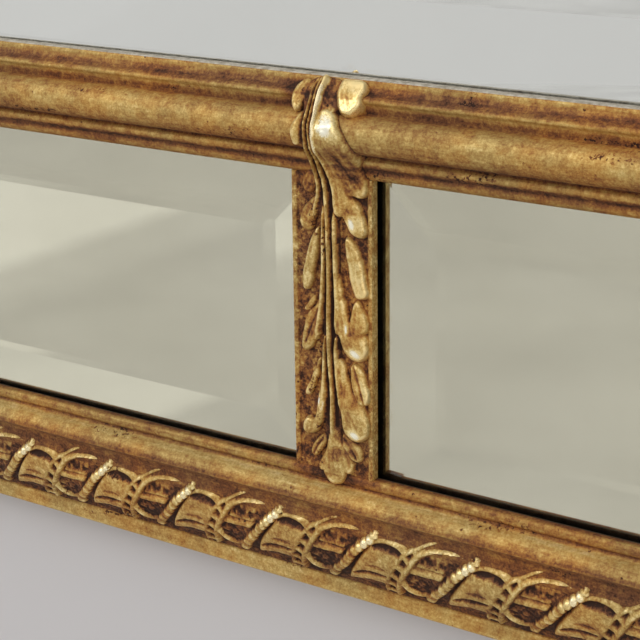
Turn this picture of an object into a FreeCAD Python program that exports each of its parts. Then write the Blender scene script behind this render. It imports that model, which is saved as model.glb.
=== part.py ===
import FreeCAD, Part
import math
import operator
import os

import Sketcher

# A gilt wall mirror. A bevelled main plate sits in an inner moulded frame, and a border of
# eight bevelled plates runs round it, inside an ornamented outer frame. Divider straps part
# the border plates, and a carved leaf runs down each strap from the inner frame's moulding.
# Millimetres. +Z is up, the front faces -Y, and the back of the frame lies at Y = 0. The
# origin is the centre of the back. Heights are measured forwards from the back of the frame.

SIZES = {
    # the whole mirror
    "overall_width": 860.0,
    "overall_height": 1120.0,
    # the layers from the back forwards
    "panel_thick": 5.0,
    "backing_thick": 4.0,
    "glass_thick": 6.0,
    "glass_edge_thick": 3.0,
    "lip_clearance": 0.3,
    # the bevels, and how far each plate reaches under the woodwork
    "main_bevel": 30.0,
    "border_bevel": 26.2,
    "main_hidden": 8.0,
    "border_hidden_inside": 7.9,
    "border_hidden_outside": 11.9,
    "plate_clearance": 0.5,
    # the border between the two frames
    "border_sight": 90.6,
    # the outer frame's moulding, from its sight edge outwards
    "outer_lip_wide": 2.6,
    "outer_groove_wide": 2.0,
    "band_wide": 4.7,
    "scoop_wide": 7.5,
    "bed_wide": 21.2,
    "bed_step_wide": 0.4,
    "outer_edge_wide": 5.5,
    "outer_lip_rise": 2.4,
    "outer_lip_round": 0.8,
    "outer_groove_deep": 1.2,
    "band_rise": 7.2,
    "band_bulge": 0.9,
    "scoop_deep": 1.9,
    "bed_top_rise": 4.0,
    "bed_foot_drop": 4.7,
    "outer_edge_drop": 4.0,
    "outer_edge_round": 0.8,
    "panel_ledge_wide": 8.0,
    # the ornament strip on the outer frame's sloping bed
    "ornament_inset": 0.3,
    "ornament_rise": 3.6,
    "ornament_side": 0.7,
    # the inner frame's moulding, from the main plate outwards
    "inner_edge_wide": 0.6,
    "cove_wide": 3.8,
    "reed_wide": 2.0,
    "hollow_wide": 3.0,
    "torus_wide": 11.1,
    "torus_gap_wide": 0.7,
    "low_reed_wide": 3.3,
    "low_groove_wide": 0.6,
    "low_lip_wide": 3.3,
    "inner_edge_rise": 1.6,
    "cove_rise": 5.0,
    "cove_deep": 0.9,
    "reed_bulge": 0.9,
    "hollow_rise": 4.4,
    "torus_base_rise": 5.2,
    "torus_high": 5.5,
    "torus_side_bulge": 1.6,
    "low_reed_rise": 4.3,
    "low_reed_bulge": 1.2,
    "low_groove_rise": 3.4,
    "low_lip_bulge": 0.7,
    "low_lip_edge_rise": 1.7,
    # the divider straps
    "strap_wide": 27.5,
    "strap_rise": 2.2,
    "strap_rim_wide": 1.3,
    "strap_ground_deep": 0.8,
    "web_wide": 6.8,
    "web_offset": 4.0,
    "tenon_high": 7.8,
    "tenon_clearance": 0.3,
    # the carved leaves
    "leaf_gap": 0.2,
    "leaf_wide": 23.0,
    "leaf_notch_wide": 15.0,
    "leaf_thick": 2.8,
    "leaf_tip_reach": 3.6,
    "leaf_tip_wide": 13.0,
    "rib_wide": 7.0,
    "rib_thick": 3.9,
    "leaf_cover_wide": 22.0,
    "leaf_over_torus": 2.4,
    "rib_over_torus": 3.3,
    "leaf_end_inset": 0.9,
    "leaf_end_thick": 1.9,
    # the keys in the mitres
    "outer_key_leg": 26.0,
    "inner_key_leg": 15.0,
    "key_thick": 3.0,
    "outer_key_level": 3.5,
    "inner_key_level": 8.0,
    # the screws that hold the back panel
    "screw_head_radius": 3.5,
    "screw_head_deep": 2.0,
    "screw_radius": 1.75,
    "screw_long": 15.0,
    "screw_fit": 0.05,
    "panel_hole_clearance": 0.25,
    "ledge_fit": 0.5,
    # the ring hangers
    "hanger_height": 300.0,
    "hanger_plate_wide": 15.0,
    "hanger_plate_long": 14.0,
    "hanger_plate_thick": 2.0,
    "barrel_wide": 11.0,
    "barrel_wall": 1.0,
    "ring_wire_radius": 1.6,
    "ring_fit": 0.08,
    "ring_half_wide": 9.8,
    "ring_corner_radius": 3.0,
    "ring_side_long": 10.6,
    "hanger_screw_spacing": 8.0,
    "hanger_screw_drop": 8.5,
    "hanger_screw_head_radius": 2.9,
    "hanger_screw_head_high": 1.1,
    "hanger_screw_long": 9.0,
    "hanger_inset": 12.0,
    # the wall bumpers
    "bumper_radius": 9.0,
    "bumper_thick": 7.0,
    "bumper_inset": 13.0,
    "bumper_round": 1.2,
    # how far a cut runs past what it cuts
    "overrun": 5.0,
}
OUTER_SCREW_SHARES = (-0.88, -0.44, 0.0, 0.44, 0.88)
INNER_SCREW_SHARES = (-0.62, 0.0, 0.62)
# where the notches between the leaf's lobes stand, down the strap's length
LEAF_NOTCH_SHARES = (0.05, 0.19, 0.36, 0.52, 0.69, 0.84)
DIAGONAL = math.sqrt(2)
# a cut that leaves more of the volume than this share has removed nothing
WHOLE_SHARE = 1 - 1e-9

# name, turn about Y in degrees, and the way that the side faces out from the centre
SIDES = (("bottom", 0, 0, -1), ("left", 90, -1, 0), ("top", 180, 0, 1), ("right", 270, 1, 0))
CORNERS = (
    ("bottom_left", 45, -1, -1, ("bottom", "left")),
    ("top_left", 135, -1, 1, ("left", "top")),
    ("top_right", 225, 1, 1, ("top", "right")),
    ("bottom_right", 315, 1, -1, ("right", "bottom")),
)
# the two border plates of each side, towards the local -X and +X ends
PLATE_ENDS = {
    "bottom": ("left", "right"),
    "left": ("upper", "lower"),
    "top": ("right", "left"),
    "right": ("lower", "upper"),
}


class Size:
    """A length together with the formula on the sheet that gives it."""

    def __init__(self, value, formula):
        self.value = value
        self.formula = formula

    def join(self, other, sign, work, flipped=False):
        """Combine two lengths, or a length and a plain number."""
        if not isinstance(other, Size):
            other = Size(other, repr(other))
        first, second = (other, self) if flipped else (self, other)
        return Size(work(first.value, second.value), f"({first.formula} {sign} {second.formula})")

    def __add__(self, other):
        return self.join(other, "+", operator.add)

    def __radd__(self, other):
        return self.join(other, "+", operator.add, flipped=True)

    def __sub__(self, other):
        return self.join(other, "-", operator.sub)

    def __rsub__(self, other):
        return self.join(other, "-", operator.sub, flipped=True)

    def __mul__(self, other):
        return self.join(other, "*", operator.mul)

    def __rmul__(self, other):
        return self.join(other, "*", operator.mul, flipped=True)

    def __truediv__(self, other):
        return self.join(other, "/", operator.truediv)

    def __neg__(self):
        return Size(-self.value, f"(-{self.formula})")


document = FreeCAD.newDocument("gilt_mirror")
sheet = document.addObject("Spreadsheet::Sheet", "Sizes")


class Sheet:
    """The driving sizes, by name."""

    def __init__(self, sizes):
        for row, (name, value) in enumerate(sizes.items(), start=1):
            sheet.set(f"A{row}", name)
            sheet.set(f"B{row}", str(value))
            sheet.setAlias(f"B{row}", name)
            setattr(self, name, Size(value, f"Sizes.{name}"))


size = Sheet(SIZES)
document.recompute()
parts = []


def value_of(length):
    return length.value if isinstance(length, Size) else float(length)


def bind(thing, place, length):
    """Set a property from a length, and keep it tied to the sheet."""
    if isinstance(length, Size):
        thing.setExpression(place, length.formula)


def new_body(name):
    body = document.addObject("PartDesign::Body", name)
    body.Label = name
    return body


def keep(thing, name):
    """Hand a finished object in as the sub-part of that name."""
    thing.Label = name
    parts.append(thing)
    return thing


def new_sketch(body, role, name, level):
    """A sketch on one of the body's own planes, moved forwards along its normal by level."""
    plane = next(item for item in body.Origin.OriginFeatures if item.Role == role)
    sketch = body.newObject("Sketcher::SketchObject", name)
    sketch.AttachmentSupport = (plane, [""])
    sketch.MapMode = "FlatFace"
    bind(sketch, "AttachmentOffset.Base.z", level)
    return sketch


def arc_radius(start, end, rise):
    """The radius of the arc between two points that rises that far above its chord."""
    across = end[0] - start[0]
    up = end[1] - start[1]
    return (across * across + up * up) / (8 * rise) + rise / 2


def outline(body, role, name, corners, arcs=None, level=0):
    """A closed outline through the corners. arcs maps a corner's number to the rise of the
    arc that starts there, and to its side: 1 bulges left of the way forwards, -1 right."""
    arcs = arcs or {}
    sketch = new_sketch(body, role, name, level)
    points = [FreeCAD.Vector(value_of(x), value_of(y), 0) for x, y in corners]
    count = len(points)
    edges = []
    for index, start in enumerate(points):
        end = points[(index + 1) % count]
        if index in arcs:
            rise, side = arcs[index]
            along = (end - start).normalize()
            left = FreeCAD.Vector(-along.y, along.x, 0)
            middle = (start + end) / 2 + left * side * value_of(rise)
            # every arc runs anticlockwise, as a sketch keeps it
            edges.append(Part.Arc(end, middle, start) if side > 0 else Part.Arc(start, middle, end))
        else:
            edges.append(Part.LineSegment(start, end))
    sketch.addGeometry(edges)
    first_ends = []
    for start, edge in zip(points, sketch.Geometry):
        nearer = (edge.StartPoint - start).Length < (edge.EndPoint - start).Length
        first_ends.append(1 if nearer else 2)
    limits = []
    formulas = []
    for index in range(count):
        after = (index + 1) % count
        last_end = 3 - first_ends[index]
        limits.append(Sketcher.Constraint("Coincident", index, last_end, after, first_ends[after]))
    for index, corner in enumerate(corners):
        for kind, length in zip(("DistanceX", "DistanceY"), corner):
            formulas.append((len(limits), length))
            limits.append(Sketcher.Constraint(kind, -1, 1, index, first_ends[index], value_of(length)))
    for index, (rise, side) in arcs.items():
        radius = arc_radius(corners[index], corners[(index + 1) % count], rise)
        formulas.append((len(limits), radius))
        limits.append(Sketcher.Constraint("Radius", index, radius.value))
    sketch.addConstraint(limits)
    for number, length in formulas:
        bind(sketch, f"Constraints[{number}]", length)
    return sketch


def circles(body, role, name, centres, radius, level=0):
    """Equal circles at the given centres."""
    sketch = new_sketch(body, role, name, level)
    sketch.addGeometry(
        [
            Part.Circle(FreeCAD.Vector(value_of(x), value_of(y), 0), FreeCAD.Vector(0, 0, 1), radius.value)
            for x, y in centres
        ]
    )
    limits = []
    formulas = []
    for index, centre in enumerate(centres):
        for kind, length in zip(("DistanceX", "DistanceY"), centre):
            formulas.append((len(limits), length))
            limits.append(Sketcher.Constraint(kind, -1, 1, index, 3, value_of(length)))
        formulas.append((len(limits), radius))
        limits.append(Sketcher.Constraint("Radius", index, radius.value))
    sketch.addConstraint(limits)
    for number, length in formulas:
        bind(sketch, f"Constraints[{number}]", length)
    return sketch


def pad(body, sketch, length, symmetric=False):
    feature = body.newObject("PartDesign::Pad", "Pad")
    feature.Profile = sketch
    feature.SideType = "Symmetric" if symmetric else "One side"
    bind(feature, "Length", length)


def pocket(body, sketch, depth=None, forwards=False):
    """Cut the outline out: right through both ways, or that deep backwards or forwards."""
    feature = body.newObject("PartDesign::Pocket", "Pocket")
    feature.Profile = sketch
    if depth is None:
        feature.Type = "ThroughAll"
        feature.SideType = "Symmetric"
    else:
        feature.Reversed = forwards
        bind(feature, "Length", depth)
    return feature


def place(thing, turn, across=0, up=0, forward=0):
    """Turn a sub-part about Y and put its own origin across, up and forward of the centre."""
    thing.Placement = FreeCAD.Placement(
        FreeCAD.Vector(value_of(across), -value_of(forward), value_of(up)),
        FreeCAD.Rotation(FreeCAD.Vector(0, 1, 0), turn),
    )
    bind(thing, "Placement.Base.x", across)
    bind(thing, "Placement.Base.z", up)
    if isinstance(forward, Size):
        bind(thing, "Placement.Base.y", -forward)


# the levels, forwards from the back of the frame
glass_back = size.panel_thick + size.backing_thick
glass_edge = glass_back + size.glass_edge_thick
glass_front = glass_back + size.glass_thick
bevel_deep = size.glass_thick - size.glass_edge_thick


def lip_underside(hidden, bevel):
    """The height of a lip that just clears the bevel that far in from the plate's edge."""
    return glass_edge + bevel_deep * hidden / bevel + size.lip_clearance


main_lip_under = lip_underside(size.main_hidden, size.main_bevel)
inner_lip_under = lip_underside(size.border_hidden_inside, size.border_bevel)
outer_lip_under = lip_underside(size.border_hidden_outside, size.border_bevel)
strap_hidden = size.strap_wide / 2 + size.web_offset - size.web_wide / 2 - size.tenon_clearance
strap_under = lip_underside(strap_hidden, size.border_bevel)
strap_top = glass_front + size.strap_rise
strap_ground = strap_top - size.strap_ground_deep

# the outer frame's moulding, from its sight edge outwards
groove_start = size.outer_lip_wide
band_start = groove_start + size.outer_groove_wide
scoop_start = band_start + size.band_wide
bed_start = scoop_start + size.scoop_wide
bed_end = bed_start + size.bed_wide
edge_start = bed_end + size.bed_step_wide
outer_rail_wide = edge_start + size.outer_edge_wide
outer_lip_top = glass_front + size.outer_lip_rise
bed_top = glass_front + size.bed_top_rise
bed_foot = glass_front - size.bed_foot_drop
outer_edge_top = glass_front - size.outer_edge_drop
outer_rebate = size.border_hidden_outside + size.plate_clearance
panel_ledge = outer_rebate + size.panel_ledge_wide
outer_screw_line = (outer_rebate + panel_ledge) / 2

# the inner frame's moulding, from the main plate outwards
cove_start = size.inner_edge_wide
reed_start = cove_start + size.cove_wide
hollow_start = reed_start + size.reed_wide
torus_start = hollow_start + size.hollow_wide
torus_end = torus_start + size.torus_wide
low_reed_start = torus_end + size.torus_gap_wide
low_reed_end = low_reed_start + size.low_reed_wide
low_lip_start = low_reed_end + size.low_groove_wide
inner_rail_wide = low_lip_start + size.low_lip_wide
stem_inside = size.main_hidden + size.plate_clearance
stem_outside = inner_rail_wide - size.border_hidden_inside - size.plate_clearance
inner_screw_line = (stem_inside + stem_outside) / 2
torus_base = glass_front + size.torus_base_rise
torus_crest = torus_base + size.torus_high

# the openings, across and up
sight_across = size.overall_width - 2 * outer_rail_wide
sight_up = size.overall_height - 2 * outer_rail_wide
block_across = sight_across - 2 * size.border_sight
block_up = sight_up - 2 * size.border_sight
main_across = block_across - 2 * inner_rail_wide
main_up = block_up - 2 * inner_rail_wide


def along_and_out(side, across, up):
    """The length along a side, and its distance from the centre."""
    return (across, up / 2) if side in ("bottom", "top") else (up, across / 2)


def outer_profile():
    """The outer frame's section: forwards is -Y and outwards is -Z."""
    steps = [
        (0, outer_lip_under),
        (0, outer_lip_top - size.outer_lip_round),
        (size.outer_lip_round, outer_lip_top),
        (groove_start, outer_lip_top),
        ((groove_start + band_start) / 2, outer_lip_top - size.outer_groove_deep),
        (band_start, outer_lip_top),
        (scoop_start, glass_front + size.band_rise),
        (bed_start, bed_top),
        (bed_end, bed_foot),
        (edge_start, outer_edge_top),
        (outer_rail_wide - size.outer_edge_round, outer_edge_top),
        (outer_rail_wide, outer_edge_top - size.outer_edge_round),
        (outer_rail_wide, 0),
        (panel_ledge, 0),
        (panel_ledge, size.panel_thick),
        (outer_rebate, size.panel_thick),
        (outer_rebate, outer_lip_under),
    ]
    arcs = {
        1: (size.outer_lip_round / 4, -1),
        5: (size.band_bulge, -1),
        6: (size.scoop_deep, 1),
        10: (size.outer_edge_round / 4, -1),
    }
    return [(-high, -out) for out, high in steps], arcs


def inner_profile():
    """The inner frame's section, with a stem between its two rebates."""
    cove_top = glass_front + size.cove_rise
    hollow = glass_front + size.hollow_rise
    low_reed = glass_front + size.low_reed_rise
    low_lip = glass_front + size.low_groove_rise
    steps = [
        (0, main_lip_under),
        (0, glass_front + size.inner_edge_rise),
        (cove_start, glass_front + size.inner_edge_rise + size.inner_edge_wide),
        (reed_start, cove_top),
        (hollow_start, cove_top),
        (torus_start, hollow),
        (torus_start, torus_base),
        ((torus_start + torus_end) / 2, torus_crest),
        (torus_end, torus_base),
        (low_reed_start, low_reed),
        (low_reed_end, low_reed),
        (low_lip_start, low_lip),
        (inner_rail_wide, glass_front + size.low_lip_edge_rise),
        (inner_rail_wide, inner_lip_under),
        (stem_outside, inner_lip_under),
        (stem_outside, size.panel_thick),
        (stem_inside, size.panel_thick),
        (stem_inside, main_lip_under),
    ]
    arcs = {
        2: (size.cove_deep, 1),
        3: (size.reed_bulge, -1),
        6: (size.torus_side_bulge, -1),
        7: (size.torus_side_bulge, -1),
        9: (size.low_reed_bulge, -1),
        11: (size.low_lip_bulge, -1),
    }
    return [(-high, -out) for out, high in steps], arcs


def mitre_cut(body, name, half, wide, end):
    """Cut one end of a rail to its mitre. half is half the sight edge's length."""
    spare = size.overrun
    corners = [
        (end * (half - spare), spare),
        (end * (half + wide + spare), spare),
        (end * (half + wide + spare), -(wide + spare)),
    ]
    return pocket(body, outline(body, "XZ_Plane", name, corners))


def key_corners(corner, leg, spare, end=1):
    """A key's right-angled triangle, whose square corner lies at the mitre's outer end."""
    reach, drop = corner
    return [
        (end * (reach + spare), -(drop + spare)),
        (end * (reach + spare), leg + spare - drop),
        (end * (reach - leg - spare), -(drop + spare)),
    ]


def mitred_rail(name, section, half, wide, key_corner, key_leg, key_level, screw_line, screw_shares):
    """One side of a frame: its section, mitred ends, key slots and pilot holes."""
    body = new_body(name)
    corners, arcs = section
    profile = outline(body, "YZ_Plane", "section", corners, arcs)
    pad(body, profile, 2 * (half + wide), symmetric=True)
    for end in (-1, 1):
        mitre_cut(body, "mitre", half, wide, end)
    for end in (-1, 1):
        slot_corners = key_corners(key_corner, key_leg, size.overrun, end)
        slot = outline(body, "XZ_Plane", "slot", slot_corners, level=key_level)
        pocket(body, slot, size.key_thick, forwards=True)
    centres = [(share * half, -screw_line) for share in screw_shares]
    pilots = circles(
        body, "XZ_Plane", "pilots", centres, size.screw_radius + size.screw_fit, level=size.panel_thick
    )
    pocket(body, pilots, size.screw_long - size.panel_thick + size.screw_fit, forwards=True)
    return body


def outer_rail(side, turn, out_x, out_z):
    along, out = along_and_out(side, sight_across, sight_up)
    corner = (along / 2 + outer_rail_wide, outer_rail_wide)
    body = mitred_rail(
        f"outer_rail_{side}", outer_profile(), along / 2, outer_rail_wide, corner,
        size.outer_key_leg, size.outer_key_level, outer_screw_line, OUTER_SCREW_SHARES,
    )
    if side in ("left", "right"):
        line = outer_rail_wide - size.hanger_inset
        height = out_x * (size.hanger_height - size.hanger_screw_drop)
        centres = [(height, way * size.hanger_screw_spacing / 2 - line) for way in (-1, 1)]
        holes = circles(body, "XZ_Plane", "hanger_pilots", centres, size.screw_radius + size.screw_fit)
        pocket(body, holes, size.hanger_screw_long + size.screw_fit, forwards=True)
    place(body, turn, out_x * out, out_z * out)
    return keep(body, body.Label)


def inner_rail(side, turn, out_x, out_z):
    along, out = along_and_out(side, main_across, main_up)
    corner = (along / 2 + stem_outside, stem_outside)
    body = mitred_rail(
        f"inner_rail_{side}", inner_profile(), along / 2, inner_rail_wide, corner,
        size.inner_key_leg, size.inner_key_level, inner_screw_line, INNER_SCREW_SHARES,
    )
    place(body, turn, out_x * out, out_z * out)
    return keep(body, body.Label)


def outer_ornament(side, turn, out_x, out_z):
    """The rounded strip, pressed with a running ribbon, that is glued along the sloping bed."""
    along, out = along_and_out(side, sight_across, sight_up)
    slope = (bed_top - bed_foot) / size.bed_wide
    inset = size.ornament_inset
    top = (bed_start + inset, bed_top - inset * slope)
    foot = (bed_end - inset, bed_foot + inset * slope)
    lift = size.ornament_side
    steps = [top, (top[0] + lift * slope, top[1] + lift), (foot[0] + lift * slope, foot[1] + lift), foot]
    body = new_body(f"outer_ornament_{side}")
    corners = [(-high, -reach) for reach, high in steps]
    profile = outline(body, "YZ_Plane", "section", corners, {1: (size.ornament_rise - lift, -1)})
    pad(body, profile, 2 * (along / 2 + outer_rail_wide), symmetric=True)
    for end in (-1, 1):
        mitre_cut(body, "mitre", along / 2, outer_rail_wide, end)
    place(body, turn, out_x * out, out_z * out)
    return keep(body, body.Label)


def strap_plan(half_wide, start, end, pointed, shift=0):
    """A strap's plan. One on a side is a rectangle. One in a corner is pointed: it fits over
    the inner frame's corner at its start, and into the outer frame's corner at its end."""
    if not pointed:
        return [
            (shift - half_wide, start),
            (shift + half_wide, start),
            (shift + half_wide, end),
            (shift - half_wide, end),
        ]
    return [
        (0, start),
        (half_wide, start + half_wide),
        (half_wide, end + half_wide),
        (0, end),
        (-half_wide, end + half_wide),
        (-half_wide, start + half_wide),
    ]


def divider(name, pointed):
    """A strap with a raised rim along each edge, and a web that parts the plates below it."""
    stretch = DIAGONAL if pointed else 1
    shift = 0 if pointed else size.web_offset
    end = -stretch * size.border_sight
    inside = stretch * (size.border_hidden_inside + size.plate_clearance - size.tenon_clearance)
    outside = stretch * (outer_rebate - size.tenon_clearance)
    body = new_body(name)
    tenon = outline(
        body, "XZ_Plane", "tenon", strap_plan(size.web_wide / 2, inside, end - outside, pointed, shift),
        level=size.panel_thick,
    )
    pad(body, tenon, size.tenon_high)
    tenon_top = size.panel_thick + size.tenon_high
    web = outline(
        body, "XZ_Plane", "web", strap_plan(size.web_wide / 2, 0, end, pointed, shift), level=tenon_top
    )
    pad(body, web, strap_under - tenon_top)
    whole = strap_plan(size.strap_wide / 2, 0, end, pointed)
    strap = outline(body, "XZ_Plane", "strap", whole, level=strap_under)
    pad(body, strap, strap_top - strap_under)
    half = size.strap_wide / 2 - size.strap_rim_wide
    spare = size.strap_wide
    between_rims = strap_plan(half, spare, end - spare, False)
    ground = outline(body, "XZ_Plane", "ground", between_rims, level=strap_top)
    pocket(body, ground, size.strap_ground_deep)
    return body


def leaf_side(stretch, over_torus, over_strap):
    """A leaf seen from the side: it lies along the strap, climbs over the inner frame's
    torus and ends in the cove beside the main plate."""
    end = -(stretch * size.border_sight + size.leaf_tip_reach)
    strap_level = strap_ground + over_strap
    middle = (torus_start + torus_end) / 2
    crest = torus_crest + over_torus
    shoulder = torus_base + (torus_crest - torus_base) / 2 + over_torus
    last = stretch * (inner_rail_wide - size.leaf_end_inset)
    last_top = glass_front + size.inner_edge_rise + size.leaf_end_thick
    steps = [
        (end, outer_lip_top - size.strap_ground_deep),
        (end, outer_lip_top + over_strap / 2),
        (end + size.leaf_tip_reach * 2, strap_level),
        (-size.strap_wide / 4, strap_level),
        (stretch * (inner_rail_wide - low_reed_start), shoulder - over_torus / 2),
        (stretch * (inner_rail_wide - middle), crest),
        (stretch * (inner_rail_wide - torus_start + size.leaf_thick / 2), shoulder),
        (last, last_top),
        (last, strap_ground),
        (-stretch * size.border_sight, strap_ground),
    ]
    arcs = {
        1: (size.leaf_tip_reach / 8, 1),
        3: (size.leaf_thick / 2, -1),
        4: (size.leaf_thick / 2, 1),
        5: (size.leaf_thick / 2, 1),
    }
    return [(-high, reach) for reach, high in steps], arcs


def leaf_blank(name, stretch):
    """The carver's blank of a leaf: a middle rib, the part that climbs the moulding, and a
    flat leaf with a lobe between each pair of notches."""
    body = new_body(name)
    rib, arcs = leaf_side(stretch, size.rib_over_torus, size.rib_thick)
    pad(body, outline(body, "YZ_Plane", "rib", rib, arcs), size.rib_wide, symmetric=True)
    side, arcs = leaf_side(stretch, size.leaf_over_torus, size.leaf_thick)
    # the climb springs from inside the flat leaf, a little below its face
    front, foot = side[3]
    climb = [(side[0][0], foot), (front + size.leaf_thick / 4, foot)] + side[4:-1]
    climb_arcs = {1: arcs[3], 2: arcs[4], 3: arcs[5]}
    pad(body, outline(body, "YZ_Plane", "climb", climb, climb_arcs), size.leaf_cover_wide, symmetric=True)
    long = stretch * size.border_sight
    notches = [(size.leaf_notch_wide / 2, -share * long) for share in LEAF_NOTCH_SHARES]
    right = [(size.leaf_notch_wide / 2, size.leaf_thick)] + notches
    tip = [(size.leaf_tip_wide / 2, -long + size.leaf_tip_reach)]
    plan = right + tip + [(-x, z) for x, z in reversed(right + tip)]
    lobe = (size.leaf_wide - size.leaf_notch_wide) / 2
    lobes = {index: (lobe, 1) for index in range(1, len(LEAF_NOTCH_SHARES))}
    tip_at = len(right)
    tip_arc = {tip_at: (2 * size.leaf_tip_reach, 1)}
    mirrored = {2 * tip_at - index: (lobe, 1) for index in range(1, len(LEAF_NOTCH_SHARES))}
    flat = outline(body, "XZ_Plane", "lobes", plan, {**lobes, **tip_arc, **mirrored}, level=strap_ground)
    pad(body, flat, size.leaf_thick)
    return body


def carved_over(blank, seats, name):
    """Hollow a leaf's underside to the woodwork that it is glued on, and leave a glue line."""
    shape = blank
    for seat in seats:
        cut = document.addObject("Part::Cut", f"{name}_seat")
        cut.Base = shape
        cut.Tool = seat
        shape = cut
    bind(shape, "Placement.Base.y", -size.leaf_gap)
    return keep(shape, name)


def bevelled_plate(name, full, flat):
    """A mirror plate: a thin edge all round, and bevels that rise to the flat middle."""
    body = new_body(name)
    pad(body, outline(body, "XZ_Plane", "blank", full, level=glass_back), size.glass_edge_thick)
    bevel = body.newObject("PartDesign::AdditiveLoft", "Bevel")
    bevel.Profile = outline(body, "XZ_Plane", "bevel_foot", full, level=glass_edge)
    bevel.Sections = [outline(body, "XZ_Plane", "bevel_top", flat, level=glass_front)]
    bevel.Ruled = True
    return body


def backing_sheet(name, plan):
    """The soft sheet behind a mirror plate."""
    body = new_body(name)
    pad(body, outline(body, "XZ_Plane", "sheet", plan, level=size.panel_thick), size.backing_thick)
    return body


def rectangle(across, up):
    return [(-across / 2, -up / 2), (across / 2, -up / 2), (across / 2, up / 2), (-across / 2, up / 2)]


def border_plan(half_block, end, bevel):
    """The plan of a border plate: square beside the middle strap, and cut at 45 degrees
    beside the corner strap. A bevel width gives the plan of the flat middle."""
    strap_edge = size.web_offset + end * (size.web_wide / 2 + size.tenon_clearance) + end * bevel
    upper = size.border_hidden_inside - bevel
    lower = -(size.border_sight + size.border_hidden_outside) + bevel
    slant = DIAGONAL * (size.web_wide / 2 + size.tenon_clearance + bevel)
    return [
        (strap_edge, upper),
        (end * (half_block - upper - slant), upper),
        (end * (half_block - lower - slant), lower),
        (strap_edge, lower),
    ]


def mitre_keys(name, corner_across, corner_up, leg, level):
    """Four flat keys, glued into slots across the frame's mitres."""
    keys = []
    for label, _, side_x, side_z, _ in CORNERS:
        body = new_body(f"{name}_{label}")
        corners = [
            (side_x * corner_across, side_z * corner_up),
            (side_x * (corner_across - leg), side_z * corner_up),
            (side_x * corner_across, side_z * (corner_up - leg)),
        ]
        pad(body, outline(body, "XZ_Plane", "key", corners, level=level), size.key_thick)
        keys.append(body)
    return group(name, keys)


def group(name, things):
    """Several separate solids that share one name."""
    compound = document.addObject("Part::Compound", name)
    compound.Links = things
    return keep(compound, name)


def screw(name, across, up, head_back, head_deep, head_radius, tail):
    """A screw whose head starts at head_back and whose shank reaches the height tail."""
    body = new_body(name)
    rim = size.screw_head_deep / 4
    corners = [
        (0, head_back),
        (head_radius, head_back),
        (head_radius, head_back + rim),
        (size.screw_radius, head_back + head_deep),
        (size.screw_radius, tail - size.screw_radius),
        (0, tail),
    ]
    section = outline(body, "XY_Plane", "section", [(x, -forward) for x, forward in corners])
    turned = body.newObject("PartDesign::Revolution", "Turned")
    turned.Profile = section
    turned.ReferenceAxis = (section, ["V_Axis"])
    place(body, 0, across, up)
    return body


def screw_places(across, up, line, shares):
    """Where the screws of one frame stand, seen from the front."""
    places = []
    for side, _, out_x, out_z in SIDES:
        along, out = along_and_out(side, across, up)
        for share in shares:
            run = share * along / 2
            reach = out + line
            if side in ("bottom", "top"):
                places.append((-out_z * run, out_z * reach))
            else:
                places.append((out_x * reach, out_x * run))
    return places


def back_panel(places):
    """The board over the whole back, with a countersunk hole for each screw."""
    body = new_body("back_panel")
    across = sight_across + 2 * (panel_ledge - size.ledge_fit)
    up = sight_up + 2 * (panel_ledge - size.ledge_fit)
    pad(body, outline(body, "XZ_Plane", "board", rectangle(across, up)), size.panel_thick)
    hole = size.screw_radius + size.panel_hole_clearance
    through = circles(body, "XZ_Plane", "holes", places, hole)
    pocket(body, through, size.panel_thick + size.overrun, forwards=True)
    rim = size.screw_head_deep / 4
    wide_hole = size.screw_head_radius + size.panel_hole_clearance
    pocket(body, circles(body, "XZ_Plane", "sinks", places, wide_hole), rim, forwards=True)
    cone = circles(body, "XZ_Plane", "cones", places, wide_hole, level=rim)
    cut = pocket(body, cone, size.screw_head_deep - rim, forwards=True)
    slope = (size.screw_head_radius - size.screw_radius).value / (size.screw_head_deep - rim).value
    cut.TaperAngle = -math.degrees(math.atan(slope))
    return keep(body, "back_panel")


def hanger_plate(name, across):
    """A folded steel plate with a barrel along its upper edge, in which the ring turns."""
    bore = size.ring_wire_radius + size.ring_fit
    barrel = bore + size.barrel_wall
    body = new_body(name)
    half = size.hanger_plate_wide / 2
    neck = size.barrel_wide / 2
    corners = [
        (-neck, 0),
        (neck, 0),
        (neck, -barrel - size.barrel_wall),
        (half, -barrel - 2 * size.barrel_wall),
        (half, -size.hanger_plate_long),
        (-half, -size.hanger_plate_long),
        (-half, -barrel - 2 * size.barrel_wall),
        (-neck, -barrel - size.barrel_wall),
    ]
    foot_arc = {4: (size.barrel_wall, 1)}
    flat = outline(body, "XZ_Plane", "plate", corners, foot_arc, level=-size.hanger_plate_thick)
    pad(body, flat, size.hanger_plate_thick)
    tube = circles(body, "YZ_Plane", "barrel", [(barrel, 0)], barrel)
    pad(body, tube, size.barrel_wide, symmetric=True)
    pocket(body, circles(body, "YZ_Plane", "bore", [(barrel, 0)], bore))
    places = [(side * size.hanger_screw_spacing / 2, -size.hanger_screw_drop) for side in (-1, 1)]
    holes = circles(
        body, "XZ_Plane", "holes", places, size.screw_radius + size.panel_hole_clearance,
        level=-size.hanger_plate_thick,
    )
    pocket(body, holes, size.hanger_plate_thick + size.overrun, forwards=True)
    place(body, 0, across, size.hanger_height)
    return keep(body, name)


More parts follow.
